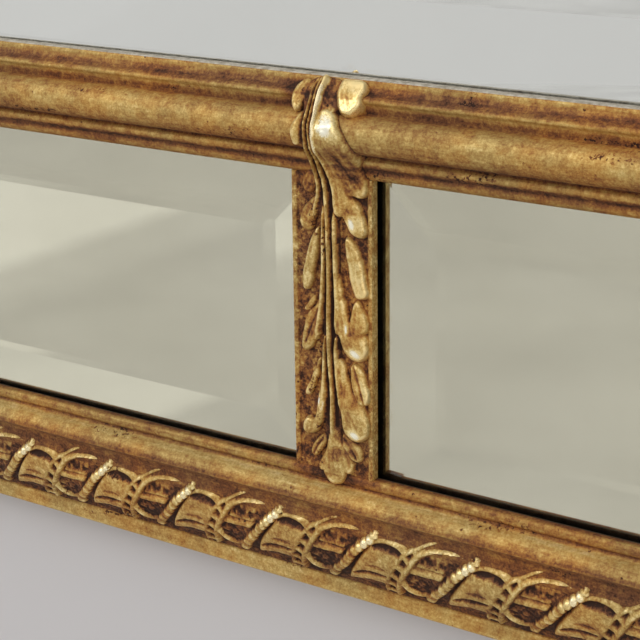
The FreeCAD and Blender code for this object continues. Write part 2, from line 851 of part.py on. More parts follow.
def hanger_ring(name, across):
    """A wire ring with a straight leg through the barrel. It hangs down at rest."""
    radius = size.ring_wire_radius
    axis = radius + size.ring_fit + size.barrel_wall
    corner = size.ring_corner_radius
    straight = size.ring_half_wide - corner
    half = size.ring_half_wide
    body = new_body(name)
    corners = [
        (-straight, 0),
        (straight, 0),
        (half, -corner),
        (half, -corner - size.ring_side_long),
        (0, -corner - size.ring_side_long - half),
        (-half, -corner - size.ring_side_long),
        (-half, -corner),
    ]
    # how far a quarter circle rises above its chord, as a share of its radius
    rise_share = 1 - 1 / DIAGONAL
    small = (corner * rise_share, 1)
    large = (half * rise_share, 1)
    arcs = {1: small, 3: large, 4: large, 6: small}
    path = outline(body, "XZ_Plane", "path", corners, arcs, level=-axis)
    wire = circles(body, "YZ_Plane", "wire", [(axis, 0)], radius)
    pipe = body.newObject("PartDesign::AdditivePipe", "Bent")
    pipe.Profile = wire
    pipe.Spine = (path, [""])
    place(body, 0, across, size.hanger_height)
    return keep(body, name)


def bumper(name, across, up):
    """A soft round pad that keeps the frame off the wall."""
    body = new_body(name)
    radius = size.bumper_radius
    corners = [
        (0, 0),
        (radius, 0),
        (radius, size.bumper_thick - size.bumper_round),
        (radius - size.bumper_round, size.bumper_thick),
        (0, size.bumper_thick),
    ]
    section = outline(body, "XY_Plane", "section", corners, {2: (size.bumper_round / 4, -1)})
    turned = body.newObject("PartDesign::Revolution", "Turned")
    turned.Profile = section
    turned.ReferenceAxis = (section, ["V_Axis"])
    place(body, 0, across, up)
    return body


# the two frames, and the ornament on the outer one
outer_rails = {}
inner_rails = {}
for side, turn, out_x, out_z in SIDES:
    outer_rails[side] = outer_rail(side, turn, out_x, out_z)
    inner_rails[side] = inner_rail(side, turn, out_x, out_z)
    outer_ornament(side, turn, out_x, out_z)
document.recompute()

# the straps between the border plates, and a leaf on each
for side, turn, out_x, out_z in SIDES:
    along, out = along_and_out(side, block_across, block_up)
    strap = divider(f"divider_{side}", False)
    place(strap, turn, out_x * out, out_z * out)
    keep(strap, strap.Label)
    blank = leaf_blank(f"leaf_blank_{side}", 1)
    place(blank, turn, out_x * out, out_z * out)
    carved_over(blank, (inner_rails[side], strap, outer_rails[side]), f"leaf_{side}")
for corner, turn, side_x, side_z, sides in CORNERS:
    strap = divider(f"corner_divider_{corner}", True)
    place(strap, turn, side_x * block_across / 2, side_z * block_up / 2)
    keep(strap, strap.Label)
    blank = leaf_blank(f"leaf_blank_{corner}", DIAGONAL)
    place(blank, turn, side_x * block_across / 2, side_z * block_up / 2)
    seats = [inner_rails[side] for side in sides] + [strap] + [outer_rails[side] for side in sides]
    carved_over(blank, seats, f"corner_leaf_{corner}")
document.recompute()

# the mirror plates and the sheets behind them
main_plan = rectangle(main_across + 2 * size.main_hidden, main_up + 2 * size.main_hidden)
main_flat = size.main_hidden - size.main_bevel
main_top = rectangle(main_across + 2 * main_flat, main_up + 2 * main_flat)
keep(bevelled_plate("main_plate", main_plan, main_top), "main_plate")
keep(backing_sheet("main_backing", main_plan), "main_backing")
backings = []
for side, turn, out_x, out_z in SIDES:
    along, out = along_and_out(side, block_across, block_up)
    for end, which in zip((-1, 1), PLATE_ENDS[side]):
        name = f"border_plate_{side}_{which}"
        full = border_plan(along / 2, end, 0)
        plate = bevelled_plate(name, full, border_plan(along / 2, end, size.border_bevel))
        place(plate, turn, out_x * out, out_z * out)
        keep(plate, name)
        backing = backing_sheet(f"backing_{side}_{which}", full)
        place(backing, turn, out_x * out, out_z * out)
        backings.append(backing)
group("border_backing", backings)
document.recompute()

# the keys in the mitres
mitre_keys(
    "outer_corner_keys", size.overall_width / 2, size.overall_height / 2,
    size.outer_key_leg, size.outer_key_level,
)
mitre_keys(
    "inner_corner_keys", main_across / 2 + stem_outside, main_up / 2 + stem_outside,
    size.inner_key_leg, size.inner_key_level,
)

# the back panel and its screws
places = screw_places(sight_across, sight_up, outer_screw_line, OUTER_SCREW_SHARES)
places += screw_places(main_across, main_up, inner_screw_line, INNER_SCREW_SHARES)
back_panel(places)
sunk_head = (0, size.screw_head_deep, size.screw_head_radius)
group(
    "panel_screws",
    [
        screw(f"panel_screw_{number}", x, z, *sunk_head, size.screw_long)
        for number, (x, z) in enumerate(places, start=1)
    ],
)

# the hangers on the backs of the two upright rails, and the bumpers in the corners
hanger_line = size.overall_width / 2 - size.hanger_inset
for side, way in (("left", -1), ("right", 1)):
    hanger_plate(f"hanger_plate_{side}", way * hanger_line)
    hanger_ring(f"hanger_ring_{side}", way * hanger_line)
hanger_screws = []
for side, way in (("left", -1), ("right", 1)):
    for number, hole in enumerate((-1, 1), start=1):
        across = way * hanger_line + hole * size.hanger_screw_spacing / 2
        head = -size.hanger_plate_thick - size.hanger_screw_head_high
        hanger_screws.append(
            screw(
                f"hanger_screw_{side}_{number}", across, size.hanger_height - size.hanger_screw_drop,
                head, size.hanger_screw_head_high, size.hanger_screw_head_radius, size.hanger_screw_long,
            )
        )
group("hanger_screws", hanger_screws)
group(
    "wall_bumpers",
    [
        bumper(
            f"wall_bumper_{label}", side_x * (size.overall_width / 2 - size.bumper_inset),
            side_z * (size.overall_height / 2 - size.bumper_inset),
        )
        for label, _, side_x, side_z, _ in CORNERS
    ],
)
document.recompute()

# every object has to be sound before anything is written
for thing in document.Objects:
    if any(state in thing.State for state in ("Invalid", "Error")):
        raise SystemExit(f"{thing.Label} failed: {thing.State}")
    if thing.TypeId == "PartDesign::Pocket":
        if thing.Shape.Volume >= thing.BaseFeature.Shape.Volume * WHOLE_SHARE:
            raise SystemExit(f"a cut in {thing.getParent().Label} removes nothing")
for thing in parts:
    if thing.Shape.isNull() or not thing.Shape.isValid() or not thing.Shape.Solids:
        raise SystemExit(f"{thing.Label} has no sound solid")

os.makedirs("parts", exist_ok=True)
for thing in parts:
    thing.Shape.exportStep(f"parts/{thing.Label}.step")
print(len(parts), "sub-parts")
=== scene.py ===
import math

import bpy
import numpy as np
from mathutils import Matrix


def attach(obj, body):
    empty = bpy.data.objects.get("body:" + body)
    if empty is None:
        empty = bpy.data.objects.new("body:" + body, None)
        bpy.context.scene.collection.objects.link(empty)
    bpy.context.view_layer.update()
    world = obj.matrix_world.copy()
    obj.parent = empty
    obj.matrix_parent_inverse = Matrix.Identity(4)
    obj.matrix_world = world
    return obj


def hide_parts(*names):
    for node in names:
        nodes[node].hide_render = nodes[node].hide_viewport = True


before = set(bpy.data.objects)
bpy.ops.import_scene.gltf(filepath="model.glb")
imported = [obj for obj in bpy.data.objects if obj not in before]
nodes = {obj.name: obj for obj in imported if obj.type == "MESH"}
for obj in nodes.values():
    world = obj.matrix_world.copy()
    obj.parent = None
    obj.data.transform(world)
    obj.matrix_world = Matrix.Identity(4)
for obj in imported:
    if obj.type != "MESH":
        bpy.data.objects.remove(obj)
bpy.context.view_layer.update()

MM = 0.001

# Half sizes of the two sight openings, and the widths set off from them, in millimetres.
OUTER_SIGHT = (386.1, 516.1)
INNER_SIGHT = (267.1, 397.1)
INNER_BLOCK = (295.5, 425.5)
BLOCK_OUT = 28.4
BORDER_OUT = 119.0
TURNS = {"bottom": 0, "left": 90, "top": 180, "right": 270}
CORNERS = {"bottom_left": 45, "top_left": 135, "top_right": 225, "bottom_right": 315}


# Numbers on grids

def ease(low, high, value):
    """Goes smoothly from 0 at low to 1 at high, level at both ends."""
    share = np.clip((value - low) / (high - low), 0, 1)
    return share * share * (3 - 2 * share)


def ripple(u, v, cell, seed):
    """Smooth noise from -1 to 1: chance values on a square lattice, eased from one to the next."""
    values = np.random.default_rng(seed).uniform(-1, 1, (128, 128))
    u, v = np.broadcast_arrays(u / cell, v / cell)
    i, j = np.floor(u).astype(int), np.floor(v).astype(int)
    across, down = ease(0, 1, u - i), ease(0, 1, v - j)
    i, j, i_next, j_next = i % 128, j % 128, (i + 1) % 128, (j + 1) % 128
    near = values[i, j] * (1 - across) + values[i_next, j] * across
    far = values[i, j_next] * (1 - across) + values[i_next, j_next] * across
    return near * (1 - down) + far * down


def rounded(line, closed=False, times=2):
    """Cuts the corners of a chain of points: each run keeps its middle half, twice over."""
    points = np.array(line, float)
    for _ in range(times):
        after = np.roll(points, -1, 0) if closed else points[1:]
        before = points if closed else points[:-1]
        cut = np.stack([0.75 * before + 0.25 * after, 0.25 * before + 0.75 * after], 1).reshape(-1, 2)
        points = cut if closed else np.concatenate([points[:1], cut, points[-1:]])
    return points


def bell(size, step, width):
    """Weights under a bell curve at so many steps to either side, in all 1."""
    weights = np.exp(-0.5 * (np.arange(-size, size + 1) * step / width) ** 2)
    return weights / weights.sum()


def run_along(line):
    """How far along a chain of points each of them is."""
    return np.concatenate([[0], np.cumsum(np.hypot(*np.diff(line, axis=0).T))])


def nearest(u, v, line):
    """Distance from each grid point to a chain of straight runs, and how far along the chain that is."""
    start, step = line[:-1], np.diff(line, axis=0)
    run = np.hypot(*step.T)
    parts = (*start.T, *step.T, run, np.concatenate([[0], np.cumsum(run)[:-1]]))
    u0, v0, du, dv, length, first = [part[:, None, None] for part in parts]
    share = np.clip(((u - u0) * du + (v - v0) * dv) / np.maximum(length * length, 1e-9), 0, 1)
    gap = np.hypot(u - u0 - share * du, v - v0 - share * dv)
    pick = gap.argmin(0)[None]
    return np.take_along_axis(gap, pick, 0)[0], np.take_along_axis(first + share * length, pick, 0)[0]


def depth_in(u, v, outline):
    """Distance to a rounded closed outline, positive inside it by the even and odd crossings of a level line."""
    ring = rounded(outline, closed=True)
    ring = np.concatenate([ring, ring[:1]])
    gap, _ = nearest(u, v, ring)
    (u0, v0), (u1, v1) = ring[:-1].T[:, :, None, None], ring[1:].T[:, :, None, None]
    level = np.where(v1 == v0, 1e-9, v1 - v0)
    crossed = ((v0 > v) != (v1 > v)) & (u < (u1 - u0) * (v - v0) / level + u0)
    return np.where(crossed.sum(0) % 2 == 1, gap, -gap)


def blurred(field, cell_u, cell_v, reach, wrap=False):
    """The field averaged under a bell curve of the given reach, along its rows and then along its columns."""
    for axis, cell in ((0, cell_u), (1, cell_v)):
        size = int(3 * reach / cell) + 1
        pad = [(0, 0), (0, 0)]
        pad[axis] = (size, size)
        wide = np.pad(field, pad, mode="wrap" if wrap and axis == 0 else "edge")
        length = field.shape[axis]
        field = sum(weight * np.take(wide, np.arange(k, k + length), axis)
                    for k, weight in enumerate(bell(size, cell, reach)))
    return field


# Making pieces

def put(name, data):
    """A new object in the scene."""
    thing = bpy.data.objects.new(name, data)
    bpy.context.scene.collection.objects.link(thing)
    return thing


def placed(points, turn, half):
    """Turns points about the upright middle axis by quarter or eighth turns, and sets them off outwards."""
    angle = math.radians(turn)
    c, s = math.cos(angle), math.sin(angle)
    x, y, z = points[..., 0], points[..., 1], points[..., 2]
    side = (round(-s * 1.4), round(-c * 1.4))
    return np.stack([x * c + z * s + side[0] * half[0], y, z * c - x * s + side[1] * half[1]], -1)


def carried(name, rings, node, material, tone=None, gloss=None, lay=None, sharp=50, coats=None):
    """Skins rings of points carried along a path: four-sided faces between neighbours, one face over each end.
    The faces are turned outwards by the sign of the volume that they hold. A coat of 1, 2 or 3 on a run of the ring
    is bare wood, wood blackened as painted shade, or bare gesso in place of the gilding."""
    count, size = rings.shape[:2]
    points = rings.reshape(-1, 3) * MM
    i, j = np.meshgrid(np.arange(count - 1), np.arange(size), indexing="ij")
    k = (j + 1) % size
    quads = np.stack([i * size + j, i * size + k, (i + 1) * size + k, (i + 1) * size + j], -1).reshape(-1, 4)
    ends = np.stack([np.arange(size)[::-1], (count - 1) * size + np.arange(size)])
    a, b, c, d = points[quads].transpose(1, 0, 2)
    volume = (np.cross(b - a, c - a) * a).sum() + (np.cross(c - a, d - a) * a).sum()
    if volume < 0:
        quads, ends = quads[:, ::-1], ends[:, ::-1]
    corners = np.concatenate([quads.ravel(), ends.ravel()]).astype(np.int32)
    starts = np.concatenate([np.arange(len(quads)) * 4, len(quads) * 4 + np.arange(2) * size]).astype(np.int32)
    mesh = bpy.data.meshes.new(name)
    mesh.vertices.add(len(points))
    mesh.vertices.foreach_set("co", points.astype(np.float32).ravel())
    mesh.loops.add(len(corners))
    mesh.loops.foreach_set("vertex_index", corners)
    mesh.polygons.add(len(starts))
    mesh.polygons.foreach_set("loop_start", starts)
    mesh.update(calc_edges=True)
    mesh.polygons.foreach_set("use_smooth", np.ones(len(starts), bool))
    mesh.set_sharp_from_angle(angle=math.radians(sharp))
    for label, values in (("tone", tone), ("gloss", gloss)):
        if values is not None:
            attribute = mesh.attributes.new(label, "FLOAT", "POINT")
            attribute.data.foreach_set("value", values.astype(np.float32).ravel())
    if lay is not None:
        layer = mesh.uv_layers.new(name="lay")
        layer.data.foreach_set("uv", (lay.reshape(-1, 2)[corners] * MM).astype(np.float32).ravel())
    mesh.materials.append(material)
    if coats is not None:
        for coat in (BARE_WOOD, BLACKENED_SHADE, GESSO):
            mesh.materials.append(coat)
        marks = np.concatenate([np.tile(coats, count - 1), [1, 1]]).astype(np.int32)
        mesh.polygons.foreach_set("material_index", marks)
    piece = put(name, mesh)
    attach(piece, "frame")
    if node:
        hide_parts(node)


# Materials

def new_group(name, ins, outs):
    """An empty node group with named sockets; an input is a colour, a vector or a number by its default value."""
    tree = bpy.data.node_groups.new(name, "ShaderNodeTree")
    kinds = {float: "NodeSocketFloat", tuple: "NodeSocketColor", str: "NodeSocketVector"}
    for label, value in ins.items():
        socket = tree.interface.new_socket(label, in_out="INPUT", socket_type=kinds[type(value)])
        if not isinstance(value, str):
            socket.default_value = value
    for label, value in outs.items():
        tree.interface.new_socket(label, in_out="OUTPUT", socket_type=kinds[type(value)])
    return tree, tree.nodes.new("NodeGroupInput"), tree.nodes.new("NodeGroupOutput")


def wire(source, target):
    source.id_data.links.new(source, target)


def dial(node, values):
    """Sets the node's own sockets to plain values."""
    for label, value in values.items():
        node.inputs[label].default_value = value


def sum_of(kind, first, second, third=None, clamp=False):
    """A number from two or three sockets or values by the named rule."""
    tree = next(value.id_data for value in (first, second, third) if isinstance(value, bpy.types.NodeSocket))
    node = tree.nodes.new("ShaderNodeMath")
    node.operation = kind
    node.use_clamp = clamp
    for index, value in enumerate((first, second, third)):
        if value is None:
            continue
        if isinstance(value, (int, float)):
            node.inputs[index].default_value = value
        else:
            wire(value, node.inputs[index])
    return node.outputs[0]


def times(first, second):
    return sum_of("MULTIPLY", first, second)


def plus(first, second, third):
    """The first times the second, plus the third."""
    return sum_of("MULTIPLY_ADD", first, second, third)


def centred(value):
    return sum_of("SUBTRACT", value, 0.5)


def grain(vector, scale, detail=3.0, rough=0.55):
    """Cloudy noise at so many cells a metre."""
    node = vector.id_data.nodes.new("ShaderNodeTexNoise")
    dial(node, {"Scale": scale, "Detail": detail, "Roughness": rough})
    wire(vector, node.inputs["Vector"])
    return node.outputs["Fac"]


def stretched(vector, scale):
    node = vector.id_data.nodes.new("ShaderNodeMapping")
    dial(node, {"Scale": scale})
    wire(vector, node.inputs["Vector"])
    return node.outputs["Vector"]


def ramp(value, stops):
    """A run of colours or greys over a number from 0 to 1."""
    node = value.id_data.nodes.new("ShaderNodeValToRGB")
    bar = node.color_ramp
    while len(bar.elements) < len(stops):
        bar.elements.new(0.5)
    for element, (place, colour) in zip(bar.elements, stops):
        element.position = place
        element.color = colour if isinstance(colour, tuple) else (colour, colour, colour, 1.0)
    wire(value, node.inputs["Fac"])
    return node.outputs["Color"]


def mixed(factor, first, second):
    """A colour between two; the second is a socket or a plain colour."""
    node = factor.id_data.nodes.new("ShaderNodeMix")
    node.data_type = "RGBA"
    wire(factor, node.inputs["Factor"])
    wire(first, node.inputs["A"])
    if isinstance(second, tuple):
        node.inputs["B"].default_value = second
    else:
        wire(second, node.inputs["B"])
    return node.outputs["Result"]


def shade(red, green, blue):
    """A colour given in the numbers of a picture, 0 to 255, as the light it stands for."""
    return tuple(((c / 255 + 0.055) / 1.055) ** 2.4 if c > 10 else c / 255 / 12.92 for c in (red, green, blue)) + (1.0,)


GOLD_STOPS = (0.0, 0.14, 0.28, 0.42, 0.58, 0.78, 1.0)
OLIVE = ((54, 34, 24), (98, 61, 39), (127, 82, 50), (155, 112, 61), (176, 142, 80), (204, 176, 110), (238, 218, 160))
REDDER = ((54, 32, 22), (98, 58, 34), (132, 78, 42), (168, 112, 54), (190, 142, 72), (212, 176, 102), (240, 212, 148))


def worn_gilding():
    """Gold leaf over red clay, rubbed through and grimed. The tone of the place, from 0 in a grimed and shaded hollow
    to 1 on a rubbed and lit edge, carries the wear together with painted light and shade; it is broken up by clouds,
    streaks along the rail and fine specks, and then picks a colour between an olive range and a redder one. Where tone
    and gloss are both high, a painted highlight turns the colour nearly white."""
    tree, given, result = new_group(
        "worn_gilding",
        {"Place": "vector", "Lay": "vector", "Tone": 0.5, "Gloss": 0.0, "Streak": 0.1, "Breakup": 0.25},
        {"Color": (0.0, 0.0, 0.0, 1.0), "Metal": 0.0, "Rough": 0.0, "Height": 0.0})
    place, lay = given.outputs["Place"], given.outputs["Lay"]
    clouds = grain(place, 60.0, 4.0, 0.6)
    patches = grain(place, 300.0, 5.0, 0.75)
    specks = grain(place, 1250.0, 4.0, 0.75)
    lines = grain(stretched(lay, (45.0, 900.0, 1.0)), 1.0, 5.0, 0.7)
    tone = given.outputs["Tone"]
    swing = given.outputs["Breakup"]
    for source, share in ((clouds, 0.9), (patches, 2.6), (specks, 2.6)):
        tone = plus(centred(source), times(swing, share), tone)
    tone = plus(centred(lines), given.outputs["Streak"], tone)
    cells = tree.nodes.new("ShaderNodeTexVoronoi")
    dial(cells, {"Scale": 170.0})
    wire(place, cells.inputs["Vector"])
    # pits where the leaf has fallen off, and crumbs in flocks along the rail
    pit = times(ramp(cells.outputs["Distance"], [(0.0, 1.0), (0.05, 1.0), (0.09, 0.0)]),
                ramp(patches, [(0.0, 0.0), (0.52, 0.0), (0.56, 1.0)]))
    flock = grain(stretched(lay, (28.0, 90.0, 1.0)), 1.0, 2.0, 0.5)
    crumbs = ramp(grain(place, 800.0, 3.0, 0.65), [(0.0, 0.0), (0.55, 0.0), (0.60, 1.0)])
    crumbs = times(crumbs, ramp(flock, [(0.0, 0.0), (0.62, 0.0), (0.68, 1.0)]))
    pit = sum_of("MAXIMUM", pit, crumbs)
    tone = sum_of("MULTIPLY_ADD", pit, -0.6, tone, clamp=True)
    olive, redder = [ramp(tone, [(stop, shade(*colour)) for stop, colour in zip(GOLD_STOPS, colours)])
                     for colours in (OLIVE, REDDER)]
    drift = grain(place, 34.0, 6.0, 0.7)
    gold = mixed(ramp(drift, [(0.0, 0.0), (0.42, 0.0), (0.6, 1.0)]), olive, redder)
    # painted highlight: where tone and gloss are both high, the colour turns nearly white and less metallic
    painted_glint = times(ramp(tone, [(0.86, 0.0), (1.0, 1.0)]), ramp(given.outputs["Gloss"], [(0.7, 0.0), (1.0, 1.0)]))
    colour = mixed(painted_glint, gold, shade(255, 250, 226))
    metal = ramp(tone, [(0.0, 0.0), (0.25, 0.04), (0.5, 0.28), (0.8, 0.50), (1.0, 0.75)])
    dull = ramp(tone, [(0.0, 0.82), (0.3, 0.68), (0.6, 0.54), (1.0, 0.42)])
    rough = plus(centred(specks), 0.4, plus(given.outputs["Gloss"], -0.2, dull))
    height = plus(pit, -1.0, plus(lines, 0.3, plus(patches, 0.8, times(specks, 0.45))))
    metal = times(metal, plus(painted_glint, -0.7, 1.0))
    for label, value in (("Color", colour), ("Metal", metal), ("Rough", rough), ("Height", height)):
        wire(value, result.inputs[label])
    return tree


GILDING = worn_gilding()


def new_material(name):
    """A material with a shader, its output, and the piece's own place as a vector."""
    material = bpy.data.materials.new(name)
    material.use_nodes = True
    tree = material.node_tree
    shader = tree.nodes["Principled BSDF"]
    place = tree.nodes.new("ShaderNodeTexCoord").outputs["Object"]
    return material, tree, shader, place


def bumped(shader, height, lift):
    node = height.id_data.nodes.new("ShaderNodeBump")
    dial(node, {"Distance": lift * MM})
    wire(height, node.inputs["Height"])
    wire(node.outputs["Normal"], shader.inputs["Normal"])


def gilded(name, streak, breakup, lift):
    """Worn gilding on one kind of piece: how far streaks and wear go, and how deep its bumps are in millimetres."""
    material, tree, shader, place = new_material(name)
    group = tree.nodes.new("ShaderNodeGroup")
    group.node_tree = GILDING
    dial(group, {"Streak": streak, "Breakup": breakup})
    wire(place, group.inputs["Place"])
    lay = tree.nodes.new("ShaderNodeUVMap")
    lay.uv_map = "lay"
    wire(lay.outputs["UV"], group.inputs["Lay"])
    for label, socket in (("tone", "Tone"), ("gloss", "Gloss")):
        attribute = tree.nodes.new("ShaderNodeAttribute")
        attribute.attribute_name = label
        wire(attribute.outputs["Fac"], group.inputs[socket])
    for label, socket in (("Color", "Base Color"), ("Metal", "Metallic"), ("Rough", "Roughness")):
        wire(group.outputs[label], shader.inputs[socket])
    dial(shader, {"Specular IOR Level": 0.25})
    bumped(shader, group.outputs["Height"], lift)
    return material


GILT_WOOD = gilded("gilt_wood", 0.45, 0.34, 0.07)
GILT_RIBBON = gilded("gilt_ribbon", 0.10, 0.42, 0.08)
GILT_STRAP = gilded("gilt_strap", 0.12, 0.62, 0.13)
GILT_LEAF = gilded("gilt_leaf", 0.05, 0.42, 0.09)


def painted(name, scale, colours, roughness, lift=0.0, detail=4.0, rough=0.6, **more):
    """A plain material: cloudy noise in the piece's own place picks a colour from a run of them and, where it has a
    lift in millimetres, raises bumps. The roughness is one number or a run over the same noise. More values go to the
    shader's own sockets of those names."""
    material, _, shader, place = new_material(name)
    clouds = grain(place, scale, detail, rough)
    wire(ramp(clouds, colours), shader.inputs["Base Color"])
    if isinstance(roughness, list):
        wire(ramp(clouds, roughness), shader.inputs["Roughness"])
    else:
        dial(shader, {"Roughness": roughness})
    if lift:
        bumped(shader, clouds, lift)
    dial(shader, {label.replace("_", " "): value for label, value in more.items()})
    return material


def aged_softwood():
    """Bare boards gone brown: growth lines drawn out along the grain, clouds of dust, and a dry surface."""
    material, _, shader, place = new_material("aged_softwood")
    rings = grain(stretched(place, (260.0, 260.0, 9.0)), 1.0, 4.0, 0.6)
    fibres = grain(stretched(place, (1500.0, 1500.0, 40.0)), 1.0, 3.0, 0.6)
    dust = times(grain(place, 14.0, 4.0, 0.6), 0.3)
    tone = plus(fibres, 0.35, plus(rings, 0.45, dust))
    wire(ramp(tone, [(0.3, shade(112, 84, 56)), (0.55, shade(158, 124, 86)), (0.8, shade(190, 158, 116))]),
         shader.inputs["Base Color"])
    dial(shader, {"Roughness": 0.8})
    bumped(shader, fibres, 0.12)
    return material


BARE_WOOD = aged_softwood()
# painted shade: a near-black wash inside the rebates, which keeps the wood from showing in the glass and stands for the
# shade of the gaps beside it
BLACKENED_SHADE = painted("blackened_shade_wood", 420.0, [(0.35, shade(50, 44, 35)), (0.65, shade(78, 70, 56))],
                    [(0.3, 0.7), (0.7, 0.85)], Specular_IOR_Level=0.2)
# gesso that shows where the gilding stops at the glass, with dirt rubbed into it
GESSO = painted("chalk_gesso", 500.0, [(0.3, shade(150, 136, 112)), (0.6, shade(214, 206, 188))], 0.8, 0.08, rough=0.65)


# Mouldings, as places (out from the sight edge, up from the back, rise of an arc to the next place), and the tone of
# their faces by the place out. The tone holds the worn gilding together with painted light and shade: painted
# highlights where a face turns up, painted shade in hollows and on faces that turn down. Faces of the rebates up to
# REBATE_TOP are blackened as painted shade, out to REBATE_OUT.

REBATE_TOP, SIGHT_UNDER, BACK = 13.8, 14.3, 0.3
REBATE_OUT = {"outer": 20.6, "inner": 36.0}
CHALK_FROM, CHALK_TO = 13.0, 16.8

OUTER_FACE = [
    (0, 13.66, 0), (0, 16.6, 0), (0.8, 17.4, 0), (2.6, 17.4, 0), (3.6, 16.2, 0), (4.6, 17.4, 0.9),
    (9.3, 22.2, -1.9), (16.8, 19, 0), (38, 10.3, 0), (38.4, 11, 0), (43.1, 11, 0), (43.9, 10.2, 0),
    (43.9, 0, 0), (20.4, 0, 0), (20.4, 5, 0), (12.4, 5, 0), (12.4, 13.66, 0)]
OUTER_TONE = [
    (0, 0.36), (0.5, 0.40), (1.2, 0.37), (2.4, 0.42), (3.2, 0.38), (3.9, 0.46), (4.6, 0.80), (5.6, 0.60), (7, 0.54),
    (7.8, 0.42), (8.6, 0.20), (9.8, 0.32), (13, 0.32), (16.8, 0.24), (36.4, 0.20), (37.2, 0.52), (38.4, 0.62),
    (42.5, 0.62), (43.9, 0.54)]
INNER_FACE = [
    (0, 13.1, 0), (0, 16.6, 0), (0.6, 17.2, -0.9), (4.4, 20, 0.9), (6.4, 20, 0), (9.4, 19.4, 0),
    (9.4, 20.2, 1.6), (14.95, 25.7, 1.6), (20.5, 20.2, 0), (21.2, 19.3, 1.2), (24.5, 19.3, 0), (25.1, 18.4, 0.7),
    (28.4, 16.7, 0), (28.4, 13.2, 0), (20, 13.2, 0), (20, 5, 0), (8.5, 5, 0), (8.5, 13.1, 0)]
INNER_TONE = [
    (0, 0.24), (0.4, 0.42), (0.9, 0.56), (1.8, 0.50), (2.8, 0.40), (3.6, 0.29), (4.3, 0.28), (5, 0.38), (5.8, 0.58),
    (6.6, 0.70), (7.3, 0.46), (8, 0.33), (8.7, 0.36), (9.2, 0.44), (9.8, 0.50), (11, 0.53), (12.9, 0.60),
    (14.4, 0.60), (16.2, 0.54), (18.3, 0.45), (19.6, 0.32), (20.7, 0.18), (21.4, 0.48), (22.4, 0.50), (23.4, 0.40),
    (24.4, 0.14), (25.4, 0.30), (26.6, 0.44), (28.4, 0.40)]


def moulding_line(face, step=0.45, soften=0.32):
    """The closed outline of a moulding: arcs as shallow bows over their chords, then every point averaged with its
    neighbours under a bell curve, which rounds the edges as gesso does."""
    corners = np.array(face, float)
    runs = []
    for (out, height, rise), (out_next, height_next, _) in zip(corners, np.roll(corners, -1, 0)):
        start, chord = np.array([out, height]), np.array([out_next - out, height_next - height])
        length = np.hypot(*chord)
        share = np.arange(0, 1, 1 / max(2, round((length + abs(rise)) / step)))[:, None]
        normal = np.array([-chord[1], chord[0]]) / length
        runs.append(start + chord * share + normal * 4 * rise * share * (1 - share))
    line = np.concatenate(runs)
    return sum(weight * np.roll(line, 4 - k, 0) for k, weight in enumerate(bell(4, step, soften)))


def rail(name, face, tones, sight, turn, seed):
    """A mitred rail: its outline carried along the side, each point as far along as its own distance out asks, so the
    ends meet at 45 degrees. The face waves by a tenth of a millimetre, as hand-scraped gesso does."""
    line, inner = moulding_line(face), sight is INNER_SIGHT
    along_half = sight[0 if turn % 180 == 0 else 1]
    share = np.linspace(-1, 1, 111 if turn == 0 else 81)[:, None]
    share = np.sign(share) * np.abs(share) ** 1.6
    out, height = line.T[:, None, :]
    along = share * (along_half + out)
    front = ease(13.9, 16.5, height) if inner else ease(9.0, 12.0, height)
    wave = 0.10 * ripple(along, out, 47, seed) + 0.05 * ripple(along, out * 3, 17, seed + 1)
    deep = height - front * np.abs(wave)
    rings = np.stack([along, -deep, -out + 0 * along], -1)
    tone = np.interp(line[:, 0], *np.array(tones).T)
    mean = sum(np.roll(line, k, 0) for k in range(-5, 6)) / 11
    tangent = np.roll(line, -1, 0) - np.roll(line, 1, 0)
    bulge = ((line - mean) * np.stack([-tangent[:, 1], tangent[:, 0]], 1)).sum(1) / np.hypot(*tangent.T)
    # painted light and shade: lighter on rounds that bulge out, darker in hollows
    tone = tone + np.clip(bulge, -0.6, 0.6) * 0.25
    run = run_along(line)
    lay = np.stack([along + 0 * out, run[None, :] + 0 * along + 300 * seed], -1)
    tone = np.repeat(tone[None], len(share), 0) + 0.05 * ripple(along, out * 2, 33, seed + 2)
    by_leaf = np.exp(-(along / 13.5) ** 6)
    dark_by_leaf = ease(1.5, 3.0, out) * ease(9.8, 9.0, out) if inner else ease(3.4, 2.4, out)
    # painted shade on the outer rail's sight face, darker down towards the glass
    if not inner:
        tone = tone - 0.14 * ease(0.4, 0.1, out) * ease(16.6, 14.4, height)
    # darker, mottled, where the leaf lies on the rail
    tone = tone - 0.34 * by_leaf * dark_by_leaf * (1 + 0.5 * ripple(along, out * 2, 4.0, seed + 3))
    middle_out, middle_height = ((line + np.roll(line, -1, 0)) / 2).T
    # painted shade: rebate faces and the lower sight face get the near-black wash
    shade_blackened = (middle_height < REBATE_TOP) & (middle_height > BACK) & (middle_out < REBATE_OUT[name[:5]])
    shade_blackened |= (middle_out < 0.2) & (middle_height < SIGHT_UNDER)
    coats = np.where(shade_blackened, 2, np.where(middle_height < BACK, 1, 0))
    if inner:
        chalky = (middle_out < 0.3) & (middle_height > CHALK_FROM) & (middle_height < CHALK_TO)
        coats = np.where(chalky | shade_blackened & (middle_out < 8.8), 3, coats)
    carried(name + "_gilt", placed(rings, turn, sight), name, GILT_WOOD, tone, np.zeros_like(tone), lay,
            coats=coats)


for number, (side, turn) in enumerate(TURNS.items()):
    rail(f"outer_rail_{side}", OUTER_FACE, OUTER_TONE, OUTER_SIGHT, turn, 10 + number)
    rail(f"inner_rail_{side}", INNER_FACE, INNER_TONE, INNER_SIGHT, turn, 20 + number)


# Ribbon ornament

# one repeat; the bed's upper edge and the way it runs down, both (out, height); where the strip starts and ends on it
PITCH = 34.5
BED_START, BED_RUN = (16.8, 19.0), (0.92513, -0.37965)
BED_TOP, BED_FOOT = -6.2, 22.7


